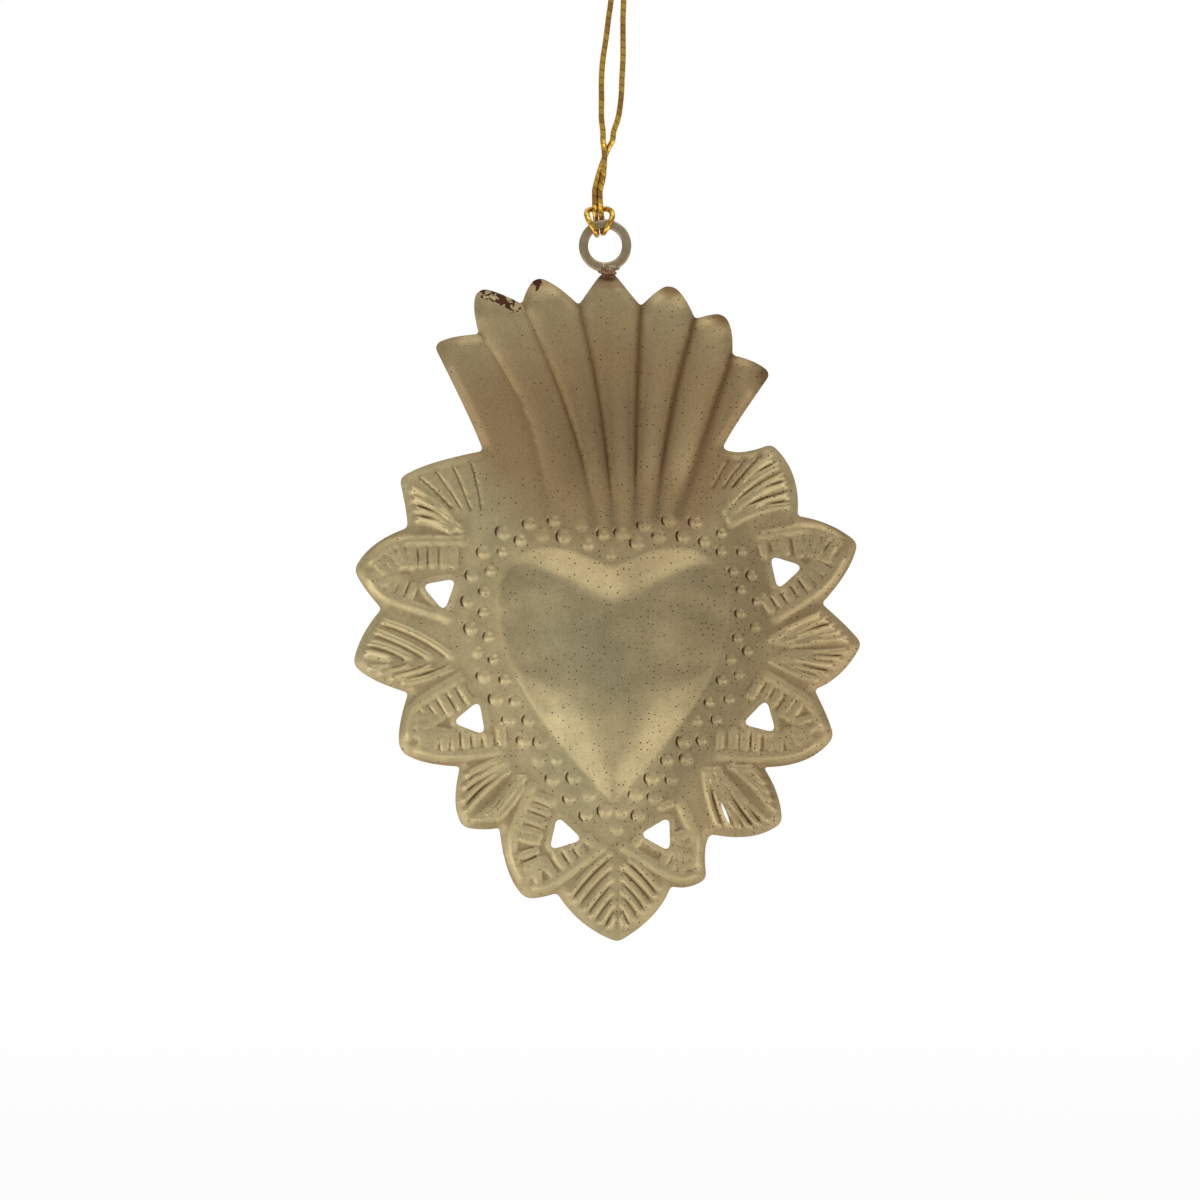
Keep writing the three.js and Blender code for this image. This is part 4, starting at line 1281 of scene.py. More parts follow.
    def hole_loop(self, cut: Cut) -> Array:
        """Draws the triangle that is pierced through a looped petal.

        Args:
            cut: The petal.

        Returns:
            Its outline, turning left, with round corners.
        """
        angle, trim, turn = cut.hole
        middle = self.past_heart(angle, self.hole_reach + trim)
        ways = [math.radians(angle + turn + 120 * corner) for corner in range(3)]
        corners = [middle + self.hole_radius * np.array([math.cos(w), math.sin(w)]) for w in ways]
        pieces = []
        for i, corner in enumerate(corners):
            towards = [other - corner for other in (corners[i - 1], corners[(i + 1) % 3])]
            first, last = (corner + t / np.linalg.norm(t) * self.hole_round for t in towards)
            side_end = corners[(i + 1) % 3] - towards[1] / np.linalg.norm(towards[1]) * self.hole_round
            side = evenly(np.array([last, side_end]), self.edge_step)
            pieces += [self.rounded(first, corner, last), side]
        return evenly(np.vstack([*pieces, pieces[0][:1]]), self.edge_step)[:-1]

    def crack_loop(self) -> Array:
        """Draws the crack in one leaf.

        Returns:
            Its outline: a narrow lens.
        """
        first, last = (self.past_heart(*end) for end in self.crack)
        one = bow(first, last, -self.crack_width / 2, 0.5, self.edge_step)
        other = bow(last, first, -self.crack_width / 2, 0.5, self.edge_step)
        return np.vstack([one[:-1], other[:-1]])

    def bead_places(self) -> list[tuple[Array, float, float, float]]:
        """Sets out the beads in two rows along one line around the heart.

        Returns:
            The middle, diameter and rise of each bead, and the angle towards which it rises most.
        """
        out = right_of(np.roll(self.heart, -1, axis=0) - np.roll(self.heart, 1, axis=0))
        moved = self.heart + out * self.bead_line
        moved = moved[within(moved, self.heart) < 0.05 - self.bead_line]
        line = evenly(np.vstack([moved, moved[:1]]), 0.1)
        count = 2 * self.beads_in_row
        places = []
        for bead in range(count):
            i = round(bead * (len(line) - 1) / count)
            step = line[(i + 1) % len(line)] - line[i - 1]
            aside = self.row_spacing / 2 * (1 if bead % 2 == 0 else -1)
            middle = line[i] + np.array([step[1], -step[0]]) / np.linalg.norm(step) * aside
            middle = middle + self.rng.uniform(-1, 1, 2) * self.bead_stray
            size, rise = self.rng.uniform(*self.bead_sizes), self.rng.uniform(*self.bead_rises)
            far = middle[0] if bead % 2 == 0 else abs(middle[0])
            size *= 1 - self.bead_shrink * float(smoothstep(far, *self.shrink_zone))
            angle = self.rng.uniform(*self.bead_turns)
            places.append((middle, self.bead_diameter * size, self.bead_rise * rise, angle))
        return places

    def inset(self, flank: Array, distance: float) -> Array:
        """Returns a flank of the outline, clockwise about the heart, moved that far into the sheet."""
        return flank + right_of(np.gradient(flank, axis=0)) * distance

    def clear_run(self, path: Array) -> Array:
        """Cuts a path off where it meets the raised lines of the loops.

        Args:
            path: Points along it.

        Returns:
            Its longest clear stretch.
        """
        free = np.ones(len(path), bool)
        for line in self.raised_lines:
            free &= to_path(path, line)[0] > 0.3 * (self.loop_width + self.vein_width)
        runs = np.split(path, np.flatnonzero(np.diff(free)) + 1)
        return max(runs[0 if free[0] else 1::2], key=len, default=path[:0])

    def leaf_strokes(self, lobe: Lobe) -> list[Stroke]:
        """Fans out the veins of a leaf from its midrib to its rim.

        Args:
            lobe: The leaf.

        Returns:
            The veins, most with a chased line beside them.
        """
        root = self.past_heart(lobe.cut.tip[0], self.band + self.root_land - lobe.cut.deep)
        axis = lobe.peak - root
        aside = np.array([-axis[1], axis[0]]) / np.linalg.norm(axis)
        first, span = self.vein_ends
        strokes = []
        sides = zip((1, -1), (lobe.up, lobe.down), lobe.cut.veins, lobe.cut.tools)
        for hand, flank, count, tool in sides:
            rim = self.inset(flank, self.vein_clear)
            rim = rim if hand == 1 else rim[::-1]
            for vein in range(count):
                share = (vein + 0.5) / count
                end = rim[round((first + span * share) * (len(rim) - 1))]
                apart = self.midrib + lobe.cut.fan * (1 - share)
                foot = root + axis * lobe.cut.spread * share + aside * hand * apart
                curl = lobe.cut.curl if tool is Mark.RIDGE else 0.0
                bulge = hand * (self.rng.uniform(*self.vein_bows) - curl) * np.linalg.norm(end - foot)
                path = self.clear_run(bow(foot, end, bulge, 0.5, self.guide_step))
                if len(path) < 5:
                    continue
                fade = min(1.3, 0.12 * len(path) * self.guide_step + 0.3)
                if tool is Mark.CHISEL:
                    cut = path[len(path) // 3:]
                    strokes.append(Stroke(tool, cut, self.chisel_width, -2 * self.chisel_depth, 1.0))
                    continue
                rise = self.vein_rise * self.rng.uniform(*self.vein_rises)
                strokes.append(Stroke(tool, path, self.vein_width, rise, fade))
                if vein == count - 1:
                    continue
                way = (path[-1] - path[0]) / np.linalg.norm(path[-1] - path[0])
                side = np.array([way[1], -way[0]]) * hand * 0.55 * self.vein_width
                cut = path[2:] + side
                strokes.append(Stroke(Mark.CHISEL, cut, self.chisel_width, -self.chisel_depth, 1.5))
        return strokes

    def loop_lines(self, lobe: Lobe) -> list[Array]:
        """Draws the raised lines of a looped petal.

        Args:
            lobe: The petal.

        Returns:
            The lines from its tip down both sides to the beads.
        """
        lines = []
        flanks = (self.inset(lobe.up, self.loop_inset)[::-1], self.inset(lobe.down, self.loop_inset))
        for inner, root in zip(flanks, lobe.cut.roots):
            kept = [inner[round(share * (len(inner) - 1))] for share in self.loop_stations]
            foot = self.past_heart(root, self.band + self.root_land)
            lines.append(through([*kept, foot], self.guide_step))
        return lines

    def loop_strokes(self, lobe: Lobe, hole: Array) -> list[Stroke]:
        """Works a looped petal: its raised lines, and pads between them and the triangle.

        Args:
            lobe: The petal.
            hole: The outline of its triangle.

        Returns:
            The raised lines, pads and dividers.
        """
        width, depth = 0.85 * self.chisel_width, 0.6 * self.chisel_depth
        least, most = self.pad_reaches
        apart = self.pad_apart * self.pad_pitch
        strokes = []
        middles: list[Array] = []
        for hand, line in zip((-1, 1), self.loop_lines(lobe)):
            strokes.append(Stroke(Mark.RIDGE, line, self.loop_width, self.loop_rise, 2.2))
            way = np.gradient(line, axis=0)
            inward = right_of(way) * hand
            place, margin = self.pad_margins
            length = (len(line) - 1) * self.guide_step
            while place < length - margin:
                i = min(round(place / self.guide_step), len(line) - 1)
                pitch = self.pad_pitch * self.rng.uniform(*self.pad_pitches)
                place += pitch
                start = line[i] + inward[i] * (self.loop_width / 2 + self.pad_gap)
                room = -within(start[None], hole)[0] - self.collar_width * 0.75
                reach = min(most, room)
                if reach < least or any(np.linalg.norm(start - m) < apart for m in middles):
                    continue
                middles.append(start)
                path = np.array([start + inward[i] * 0.25, start + inward[i] * max(reach - 0.3, 0.5)])
                rise = self.pad_rise * self.rng.uniform(*self.pad_rises)
                strokes.append(Stroke(Mark.PAD, path, pitch - self.pad_between, rise))
                side = way[i] / np.linalg.norm(way[i]) * pitch / 2
                cut = np.array([start - inward[i] * 0.1, start + inward[i] * reach]) + side
                strokes.append(Stroke(Mark.CHISEL, evenly(cut, self.guide_step), width, -depth, 0.5))
        return strokes

    def bead_strokes(self) -> list[Stroke]:
        """Tears slits at the left of most beads, as the punch did.

        Returns:
            The slits.
        """
        width, depth = 1.15 * self.chisel_width, 2.2 * self.chisel_depth
        strokes = []
        for middle, diameter, *_ in self.beads:
            first, last = self.rng.uniform(*self.slit_starts), self.rng.uniform(*self.slit_ends)
            torn = self.rng.random() < self.slit_chance
            angles = np.radians(np.linspace(first, last, 8))
            arc = middle + np.column_stack([np.cos(angles), np.sin(angles)]) * diameter * 0.49
            if torn:
                strokes.append(Stroke(Mark.CHISEL, arc, width, -depth, 0.8))
        return strokes

    def all_strokes(self) -> list[Stroke]:
        """Works the sheet with hand tools.

        Returns:
            Every mark on it.
        """
        strokes = self.bead_strokes()
        holes = iter(self.holes)
        for lobe in self.border:
            strokes += self.loop_strokes(lobe, next(holes)) if lobe.cut.hole else self.leaf_strokes(lobe)
        return strokes

    def crown_lines(self) -> list[Array]:
        """Draws the lines between the flutes and at the crown's two sides.

        Returns:
            The lines from left to right, each from the bottom up and drawn on past its top.
        """
        angles = (self.crown_feet[0], *(groove[0] for groove in self.grooves), self.crown_feet[1])
        feet = [self.past_heart(degrees, self.flute_foot) for degrees in angles]
        sides = ((self.flutes[0].up[::-1], feet[0]), (self.flutes[-1].down, feet[-1]))
        ends = [np.vstack(side) for side in sides]
        for line, hand in zip(ends, (-1, 1)):
            notch = line[-2, 1]
            line[:, 0] += hand * self.flute_overhang * smoothstep(line[:, 1], notch - 10, notch + 5)
        lines = [ends[0]]
        for lobe, foot, (_, bulge, where) in zip(self.flutes, feet[1:], self.grooves):
            lines.append(bow(lobe.end, foot, bulge, where, self.edge_step))
        lines.append(ends[1])
        drawn_on = []
        for line in lines:
            way = line[0] - line[min(8, len(line) - 1)]
            drawn_on.append(np.vstack([line[0] + way / np.linalg.norm(way) * 40, line])[::-1])
        return drawn_on

    def dome(self, points: Array, depth: Array) -> tuple[Array, Array]:
        """How far the heart's dome rises.

        Args:
            points: Places across and up.
            depth: How deep each one lies inside the heart's contour.

        Returns:
            The height of soft facets that go up from the foot, sides, shoulders and lobes to a level top,
            and how far each place belongs to that top and the gentle sides.
        """
        half = len(self.heart) // 2
        ends = [round(share * half) for share in (*self.dome_ends, 1)]
        edge, foot, *slopes = self.dome_slopes
        low = ends[0]
        facets = [(np.full(len(points), self.dome_rise), 1.0), (edge * depth, 0.0)]
        facets.append((self.dome_keel[0] * (points[:, 1] + self.dome_keel[1]), 1.0))
        lines = [self.heart[start:end + 1] for start, end in zip(ends, ends[1:])]
        way = self.heart[low] - self.heart[0]
        for hand in (1, -1):
            inward = np.array([-hand * way[1], way[0]]) / np.linalg.norm(way)
            facets.append((foot * (points @ inward - (self.heart[:low] * (hand, 1) @ inward).min()), 0.0))
            for line, slope, gentle in zip(lines, slopes, (1.0, 1.0, 0.6, 0.0)):
                facets.append((slope * to_path(points, line * (hand, 1))[0], gentle))
        parts = [np.maximum(rise, 1e-3) ** -self.dome_soft for rise, _ in facets]
        total = sum(parts)
        level = sum(part * gentle for part, (_, gentle) in zip(parts, facets)) / total
        return np.where(depth > 0, total ** (-1 / self.dome_soft), 0), level

    def flute_level(self, points: Array, from_heart: Array) -> Array:
        """Raises the flutes: round ridges between sharp grooves, which fade towards the beads.

        Args:
            points: Places across and up.
            from_heart: How far each one lies past the heart's contour.

        Returns:
            How far they rise, less where the tips are bent back.
        """
        lines = self.crown_lines()
        across = np.array([np.interp(points[:, 1], line[:, 1], line[:, 0]) for line in lines])
        fade = smoothstep(from_heart, self.flute_foot - 1.5, self.flute_foot + self.flute_fade)
        level = np.zeros(len(points))
        notches = {0: self.flutes[0].start[1], len(self.flutes) - 1: self.flutes[-1].end[1]}
        for flute, (left, right) in enumerate(zip(across, across[1:])):
            between = (points[:, 0] > left) & (points[:, 0] < right) & (points[:, 1] > self.heart_dip)
            share = np.clip((points[:, 0] - left) / np.maximum(right - left, 1e-6), 0, 1)
            bulge = np.sin(math.pi * share) ** self.flute_round
            if flute in notches:
                low, high = self.side_fade
                bulge *= smoothstep(points[:, 1], notches[flute] + low, notches[flute] + high)
            level = np.where(between, bulge, level)
        level = self.flute_rise * level * fade
        for lobe in self.flutes:
            away = smoothstep(np.linalg.norm(points - lobe.peak, axis=1), 0, self.flute_tip)
            level = np.minimum(level, level * (0.2 + 0.8 * away)) - self.tip_bend * (1 - away)
        return level

    def relief(self, points: Array) -> tuple[Array, Array]:
        """How far the sheet is pushed forward at each place.

        Args:
            points: Places across and up.

        Returns:
            The distances in millimetres, and the share of them that takes wear: the marks, and the flutes
            most on the right.
        """
        depth = within(points, self.heart)
        from_edge = within(points, self.outline)
        flutes = self.flute_level(points, np.maximum(-depth, 0))
        marks = np.zeros(len(points))
        for hole in self.holes:
            marks += self.collar_rise * (1 - smoothstep(-within(points, hole), 0.3, self.collar_width))
        up, down = np.zeros(len(points)), np.zeros(len(points))
        for middle, diameter, rise, angle in self.beads:
            away = 2 * (points - middle) / diameter
            lean = 1 + self.bead_lean * (away @ (math.cos(angle), math.sin(angle)))
            side = smoothstep(np.linalg.norm(away, axis=1), self.bead_crown, 1)
            up = np.maximum(up, rise * lean * (1 - side))
        for stroke in self.strokes:
            near, moved = stroke.shape(points)
            if stroke.mark is Mark.CHISEL:
                down[near] = np.minimum(down[near], moved)
            else:
                up[near] = np.maximum(up[near], moved)
        marks += up + down
        (buckle, long), (ripple, short) = self.buckle, self.ripple
        wander = buckle * noise_at(points, long, 3.1) + ripple * noise_at(points, short, 8.4)
        bend = self.rim_bend * (1 - smoothstep(from_edge, 0, self.rim_width))
        wander = wander * smoothstep(from_edge, 0, 1.5)
        rise = marks + flutes + self.dome(points, depth)[0] + wander - bend
        return rise, marks + flutes * (0.2 + 0.8 * smoothstep(points[:, 0], *self.rubbed_right))

    def lattice(self, spacing: float) -> Array:
        """Fills the blank's box with even points.

        Args:
            spacing: The distance between neighbours.

        Returns:
            The points, every other row half a step aside.
        """
        low, high = self.outline.min(0), self.outline.max(0)
        rows = np.arange(low[1], high[1], spacing * math.sqrt(3) / 2)
        lines = []
        for i, row in enumerate(rows):
            across = np.arange(low[0] + spacing / 2 * (i % 2), high[0], spacing)
            lines.append(np.column_stack([across, np.full(len(across), row)]))
        return np.vstack(lines)

    def zone_points(self, zone: Zone) -> Array:
        """Fills one zone of the sheet with even points.

        Args:
            zone: The zone.

        Returns:
            The points.
        """
        points = self.lattice(self.spacing[zone])
        depth = within(points, self.heart)
        lines = self.crown_lines()
        left, right = (np.interp(points[:, 1], line[:, 1], line[:, 0]) for line in (lines[0], lines[-1]))
        crown = (points[:, 1] > self.heart_dip) & (points[:, 0] > left) & (points[:, 0] < right)
        chosen = {
            Zone.HEART: depth > 0,
            Zone.BEADS: (depth <= 0) & (depth > -self.band),
            Zone.CROWN: (depth <= -self.band) & crown,
            Zone.PETALS: (depth <= -self.band) & ~crown,
        }
        return points[chosen[zone]]

    def sheet_points(self) -> tuple[Array, list[tuple[int, int]]]:
        """Chooses the points of the blank: its edges, then along its marks, then evenly in between.

        Returns:
            The points, and the edges that the mesh has to keep.
        """
        chosen = Points()
        edges = []
        for loop in (self.outline, *self.openings):
            first = len(chosen.places)
            chosen.add(loop, 0.05)
            count = len(chosen.places) - first
            edges += [(first + i, first + (i + 1) % count) for i in range(count)]
        guides = [self.heart, *(evenly(line, self.guide_step) for line in self.crown_lines()[1:-1])]
        for stroke in sorted(self.strokes, key=lambda s: s.mark is not Mark.CHISEL):
            guides += stroke.guides(self.guide_step)
        for middle, diameter, *_ in self.beads:
            for share, count in self.bead_rings:
                angles = np.linspace(0, 2 * math.pi, count, endpoint=False)
                ring = np.column_stack([np.cos(angles), np.sin(angles)])
                guides.append(middle + ring * diameter / 2 * share)
        chosen.add(self.on_sheet(np.vstack(guides), 0.2), 0.24)
        for zone, spacing in self.spacing.items():
            chosen.add(self.on_sheet(self.zone_points(zone), 0.3 * spacing), 0.62 * spacing)
        return np.array(chosen.places), edges

    def on_sheet(self, points: Array, margin: float) -> Array:
        """Keeps the points that lie on the sheet.

        Args:
            points: Places across and up.
            margin: The least distance from its edges.

        Returns:
            The points kept.
        """
        kept = within(points, self.outline) > margin
        for loop in self.openings:
            kept &= within(points, loop) < -margin
        return points[kept]

    def triangles(self, points: Array, edges: list[tuple[int, int]]) -> tuple[Array, Array]:
        """Fills the blank with triangles.

        Args:
            points: Its points.
            edges: The edges to keep.

        Returns:
            The points in their new order, and the triangles, which turn left as seen from the front.
        """
        made = delaunay_2d_cdt([Vector(p) for p in points.tolist()], edges, [], 1, 1e-5)
        places = np.array([tuple(p) for p in made[0]])
        faces = np.array([f for f in made[2] if len(f) == 3])
        middles = places[faces].mean(1)
        kept = within(middles, self.outline) > 0
        for loop in self.openings:
            kept &= within(middles, loop) < 0
        faces = faces[kept]
        a, b, c = (places[faces[:, i]] for i in range(3))
        turn = (b[:, 0] - a[:, 0]) * (c[:, 1] - a[:, 1]) - (b[:, 1] - a[:, 1]) * (c[:, 0] - a[:, 0])
        faces[turn < 0] = faces[turn < 0][:, ::-1]
        return places, faces

    def softened(self, values: Array, faces: Array, rounds: int) -> Array:
        """Evens out values over the sheet with their neighbours'.

        Args:
            values: One for each point.
            faces: The sheet's triangles.
            rounds: How many times.

        Returns:
            The new values.
        """
        pairs = np.vstack([faces[:, [0, 1]], faces[:, [1, 2]], faces[:, [2, 0]]])
        pairs = np.vstack([pairs, pairs[:, ::-1]])
        count = np.maximum(np.bincount(pairs[:, 0], minlength=len(values)), 1)
        for _ in range(rounds):
            total = np.bincount(pairs[:, 0], weights=values[pairs[:, 1]], minlength=len(values))
            values = 0.4 * values + 0.6 * total / count
        return values

    def build(self) -> Object:
        """Presses the sheet and dresses it.

        Returns:
            The plate.
        """
        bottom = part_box("pressed_plate")[0].z / MM
        points, faces = self.triangles(*self.sheet_points())
        rise, marks = self.relief(points)
        soft = self.softened(rise, faces, 6)
        face_depth = self.setback - self.sheet - rise
        back_depth = np.maximum(self.setback - soft, face_depth + 0.6 * self.sheet)
        up = points[:, 1] + bottom - self.outline[:, 1].min()
        front = np.column_stack([points[:, 0], face_depth, up])
        back = np.column_stack([points[:, 0], back_depth, up])
        count = len(points)
        ways = {(int(a), int(b)) for f in faces for a, b in zip(f, np.roll(f, -1))}
        rim = [(b, a, a + count, b + count) for a, b in ways if (b, a) not in ways]
        walls = [*faces.tolist(), *(faces[:, ::-1] + count).tolist(), *rim]
        plate = new_object("pressed_brass_plate", np.vstack([front, back]), walls)
        self.weather(plate, points, faces, marks)
        alone(plate)
        bpy.ops.object.shade_smooth_by_angle(angle=math.radians(45))
        plate.data.materials.append(self.finish.build())
        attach(plate, Body.ORNAMENT.value)
        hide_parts("pressed_plate")
        return plate

    def weather(self, plate: Object, points: Array, faces: Array, marks: Array) -> None:
        """Tells the finish where the sheet is worn, stained, tinned, pitted and brown, where shade is
        painted on its face, and how its back is mottled.

        Args:
            plate: The plate, which has the points of its face and then those of its back.
            points: The points of its face, across and up.
            faces: The triangles of its face.
            marks: How far each point is raised by what takes wear.
        """
        count = len(points)
        wear = (marks - self.softened(marks, faces, 40)) / 0.5
        back_wear = 0.6 * self.softened(-wear, faces, 4) - 0.15
        set_attribute(plate, "relief", np.concatenate([wear, back_wear]))
        set_attribute(plate, "lacquer", np.concatenate([self.lacquer(points), np.zeros(count)]))
        middle, level, reach = self.tinned
        across, up = points[:, 0], points[:, 1]
        edge = up - level - 0.06 * (across - middle)**2 + 0.5 * noise_at(points, 1.5, 4.4)
        tinned = 0.85 * smoothstep(edge, -0.25, 0.25) * (np.abs(across - middle) < 2 * reach)
        set_attribute(plate, "tinned", np.tile(tinned, 2))
        pitted = smoothstep(across - np.maximum(up - 34, 0), *self.pitted_right)
        set_attribute(plate, "pitted", np.tile(pitted, 2))
        set_attribute(plate, "warm", np.tile(self.warmth(points), 2))
        # The face gets painted shade; the back gets only a random darker mottle in the same attribute.
        back_mottle = 0.4 + 0.3 * noise_at(points, 11.0, 9.2)
        set_attribute(plate, "painted_shade_and_mottle", np.concatenate([self.painted_shade_and_mottle(points), back_mottle]))

    def warmth(self, points: Array) -> Array:
        """Finds where the sheet is browner: over the crown, where the acid's brown shows most, and towards
        the right.

        Args:
            points: Places across and up.

        Returns:
            From 0 to 1: over the crown but for its tips and its foot's ends, and on the right.
        """
        across, up = points[:, 0], points[:, 1]
        crown = smoothstep(up + 0.25 * across + 4 * noise_at(points, 12.0, 6.6), *self.brown_foot)
        crown *= 1 - smoothstep(np.abs(across) - 0.6 * (up - 24), *self.brown_ends)
        height = up + 0.3 * np.abs(across + 1) - 0.1 * across + 2 * noise_at(points, 9.0, 2.7)
        tips = smoothstep(height, *self.brown_tips)
        right = 0.5 * smoothstep(across, *self.brown_right) * (1 - 0.6 * smoothstep(up, *self.brown_top))
        return np.maximum(crown * (1 - 0.6 * tips), right)

    def painted_shade_and_mottle(self, points: Array) -> Array:
        """Finds where shade is painted on the face, by darkening its colour.

        Args:
            points: Places across and up.

        Returns:
            From 0 to 1, painted shade: the heart's flat top and keel, the beads on the right, the crown's
                middle and its grooves.
        """
        depth = within(points, self.heart)
        across, up = points[:, 0], points[:, 1]
        aside = np.abs(across)
        # Painted shade over the heart's flat top and gentle sides, and along its keel.
        middle = 0.45 + 0.2 * smoothstep(up, *self.shade_top) + 0.2 * smoothstep(aside, *self.shade_sides)
        keel = 0.25 * (1 - smoothstep(aside, *self.keel_width)) * smoothstep(-up, *self.keel_start)
        middle = np.maximum(middle * self.dome(points, depth)[1], keel)
        # Painted shade over the crown's middle.
        crown = 0.6 * smoothstep(up, *self.shade_crown) * (1 - smoothstep(up, *self.unshaded_crown))
        crown *= 1 - smoothstep(np.abs(across + 1), *self.crown_half)
        # Painted shade over the beads on the right.
        right = across - 0.5 * np.maximum(up, 0)
        beaded = 0.5 * smoothstep(right, *self.shade_beads) * (1 - smoothstep(-depth, *self.bead_zone))
        inside = smoothstep(depth, -0.5, 1.0)
        painted_shade_and_mottle = inside * middle + (1 - inside) * np.maximum(crown, beaded)
        # Painted shade along the grooves between the flutes, most on the right.
        for line in self.crown_lines()[1:-1]:
            streak = 1 - smoothstep(to_path(points, line)[0], *self.groove_shadow)
            streak *= 1 - 0.6 * smoothstep(up, *self.groove_top)
            streak = 0.65 * streak * (0.2 + 0.8 * smoothstep(across, *self.groove_right))
            painted_shade_and_mottle = np.maximum(painted_shade_and_mottle, streak)
        return painted_shade_and_mottle

    def lacquer(self, points: Array) -> Array:
        """Finds where old lacquer clings.

        Args:
            points: Places across and up.

        Returns:
            From 0 to 1: along the right of the second flute's tip, and in specks left of the third's.
        """
        near = np.zeros(len(points))
        stains = ((self.flutes[1].down, 0.15, 0.85, 3.2), (self.flutes[2].up, 0.7, 1.0, 2.4))
        for flank, start, end, width in stains:
            line = self.inset(flank, 1.0)[round(start * len(flank)):round(end * len(flank))]
            near = np.maximum(near, 1 - smoothstep(to_path(points, line)[0], 0.2 * width, width))
        return near


@dataclass
class HangingRing:
    """The ring of flat wire, bent round until its ends meet beside its lowest point."""

    band: float = 1.85
    thick: float = 1.4
    edge_round: float = 0.42
    seam: float = 0.08
    seam_aside: float = -5.5
    steps: int = 120
    unevenness: float = 0.05
    finish: WireBrass = field(default_factory=WireBrass)

    def build(self) -> Object:
        """Sweeps the section of the wire around the ring's axis and dresses it.

        Returns:
            The ring.
        """
        low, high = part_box("hanging_ring")
        centre = (low + high) / 2
        radius = (high.x - low.x) / 2 - self.band * MM / 2
        start = math.radians(self.seam_aside) + self.seam * MM / 2 / radius
        foot = centre + radius * Vector((math.sin(start), 0, -math.cos(start)))
        bpy.ops.object.select_all(action="DESELECT")
        bpy.ops.mesh.primitive_plane_add(size=MM, location=foot, rotation=(0, math.pi / 2 - start, 0))
        ring = bpy.context.object
        ring.name = "flat_wire_ring"
        ring.scale = (self.band, self.thick, 1)
        bpy.ops.object.transform_apply(location=True, rotation=True, scale=True)
        bpy.ops.object.mode_set(mode="EDIT")
        bpy.ops.mesh.select_all(action="SELECT")
        bpy.ops.mesh.bevel(offset=self.edge_round * MM, segments=4, affect="VERTICES")
        bpy.ops.mesh.select_all(action="SELECT")
        bpy.ops.mesh.delete(type="ONLY_FACE")
        bpy.ops.mesh.select_all(action="SELECT")
        turn = 2 * math.pi - self.seam * MM / radius
        bpy.ops.mesh.spin(steps=self.steps, angle=turn, center=centre, axis=(0, -1, 0))
        bpy.ops.mesh.select_all(action="SELECT")
        bpy.ops.mesh.remove_doubles(threshold=0.001 * MM)
        bpy.ops.mesh.fill_holes(sides=0)
        bpy.ops.mesh.select_all(action="SELECT")
        bpy.ops.mesh.normals_make_consistent(inside=False)
        bpy.ops.object.mode_set(mode="OBJECT")
        points = get_points(ring)
        for way, seed in ((0, 1.7), (1, 5.2), (2, 9.6)):
            points[:, way] += self.unevenness * noise_at(points, 2.4, seed)
        set_points(ring, points)
        bpy.ops.object.shade_smooth_by_angle(angle=math.radians(40))
        ring.data.materials.append(self.finish.build())
        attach(ring, Body.ORNAMENT.value)
        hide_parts("hanging_ring")
        return ring


@dataclass
class SolderJoint:
    """The solder between the ring and the middle flute: lumps that ran together over seam and tip.

    The lumps are run together at a thousand times their size, because the tools that do it are made for
    metres. Setting the points takes that back.
    """

    lumps: Sequence[tuple[Point3, Point3]] = (
        ((1.35, -0.7, -4.6), (1.15, 0.42, 0.7)),
        ((0.7, -0.8, -4.45), (0.5, 0.4, 0.5)),
        ((2.2, -0.1, -4.5), (0.8, 0.6, 0.5)),
        ((-0.35, -0.6, -4.8), (0.5, 0.45, 0.6)),
        ((-0.7, -0.1, -5.2), (0.75, 0.6, 0.45)),
        ((0.3, -0.3, -5.4), (0.7, 0.6, 0.45)),
        ((1.4, -0.2, -5.5), (1.0, 0.6, 0.4)),
        ((0.6, 0.5, -5.5), (1.5, 0.9, 0.6)),
        ((0.7, 1.1, -5.95), (1.55, 0.5, 0.55)),
        ((0.7, 1.75, -5.9), (1.4, 0.45, 0.8)),
    )
    voxel: float = 0.13
    unevenness: float = 0.12
    burnt_share: float = 0.4
    burnt_zone: Point = (4.7, 5.6)
    finish: SolderMetal = field(default_factory=SolderMetal)

    def build(self) -> Object:
        """Runs the lumps together and dresses them.

        Returns:
            The solder.
        """
        low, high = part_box("hanging_ring")
        centre = (low + high) / 2 / MM
        bpy.ops.object.select_all(action="DESELECT")
        balls = []
        for place, size in self.lumps:
            bpy.ops.mesh.primitive_uv_sphere_add(
                segments=32, ring_count=20, radius=1, location=centre + Vector(place))
            bpy.context.object.scale = size
            balls.append(bpy.context.object)
        for ball in balls:
            ball.select_set(True)
        bpy.ops.object.join()
        solder = bpy.context.object
        solder.name = "soft_solder_joint"
        bpy.ops.object.transform_apply(location=True, rotation=True, scale=True)
        apply_modifier(solder, "REMESH", mode="VOXEL", voxel_size=self.voxel)
        apply_modifier(solder, "SMOOTH", factor=0.5, iterations=6)
        points = get_points(solder) * MM
        for way, seed in ((0, 2.2), (1, 4.9), (2, 7.3)):
            points[:, way] += self.unevenness * noise_at(points, 0.8, seed)
        set_points(solder, points)
        burnt = self.burnt_share * smoothstep(centre.z - points[:, 2], *self.burnt_zone)
        set_attribute(solder, "burnt", burnt)
        alone(solder)
        bpy.ops.object.shade_smooth()
        solder.data.materials.append(self.finish.build())
        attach(solder, Body.ORNAMENT.value)
        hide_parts("ring_solder")
        return solder


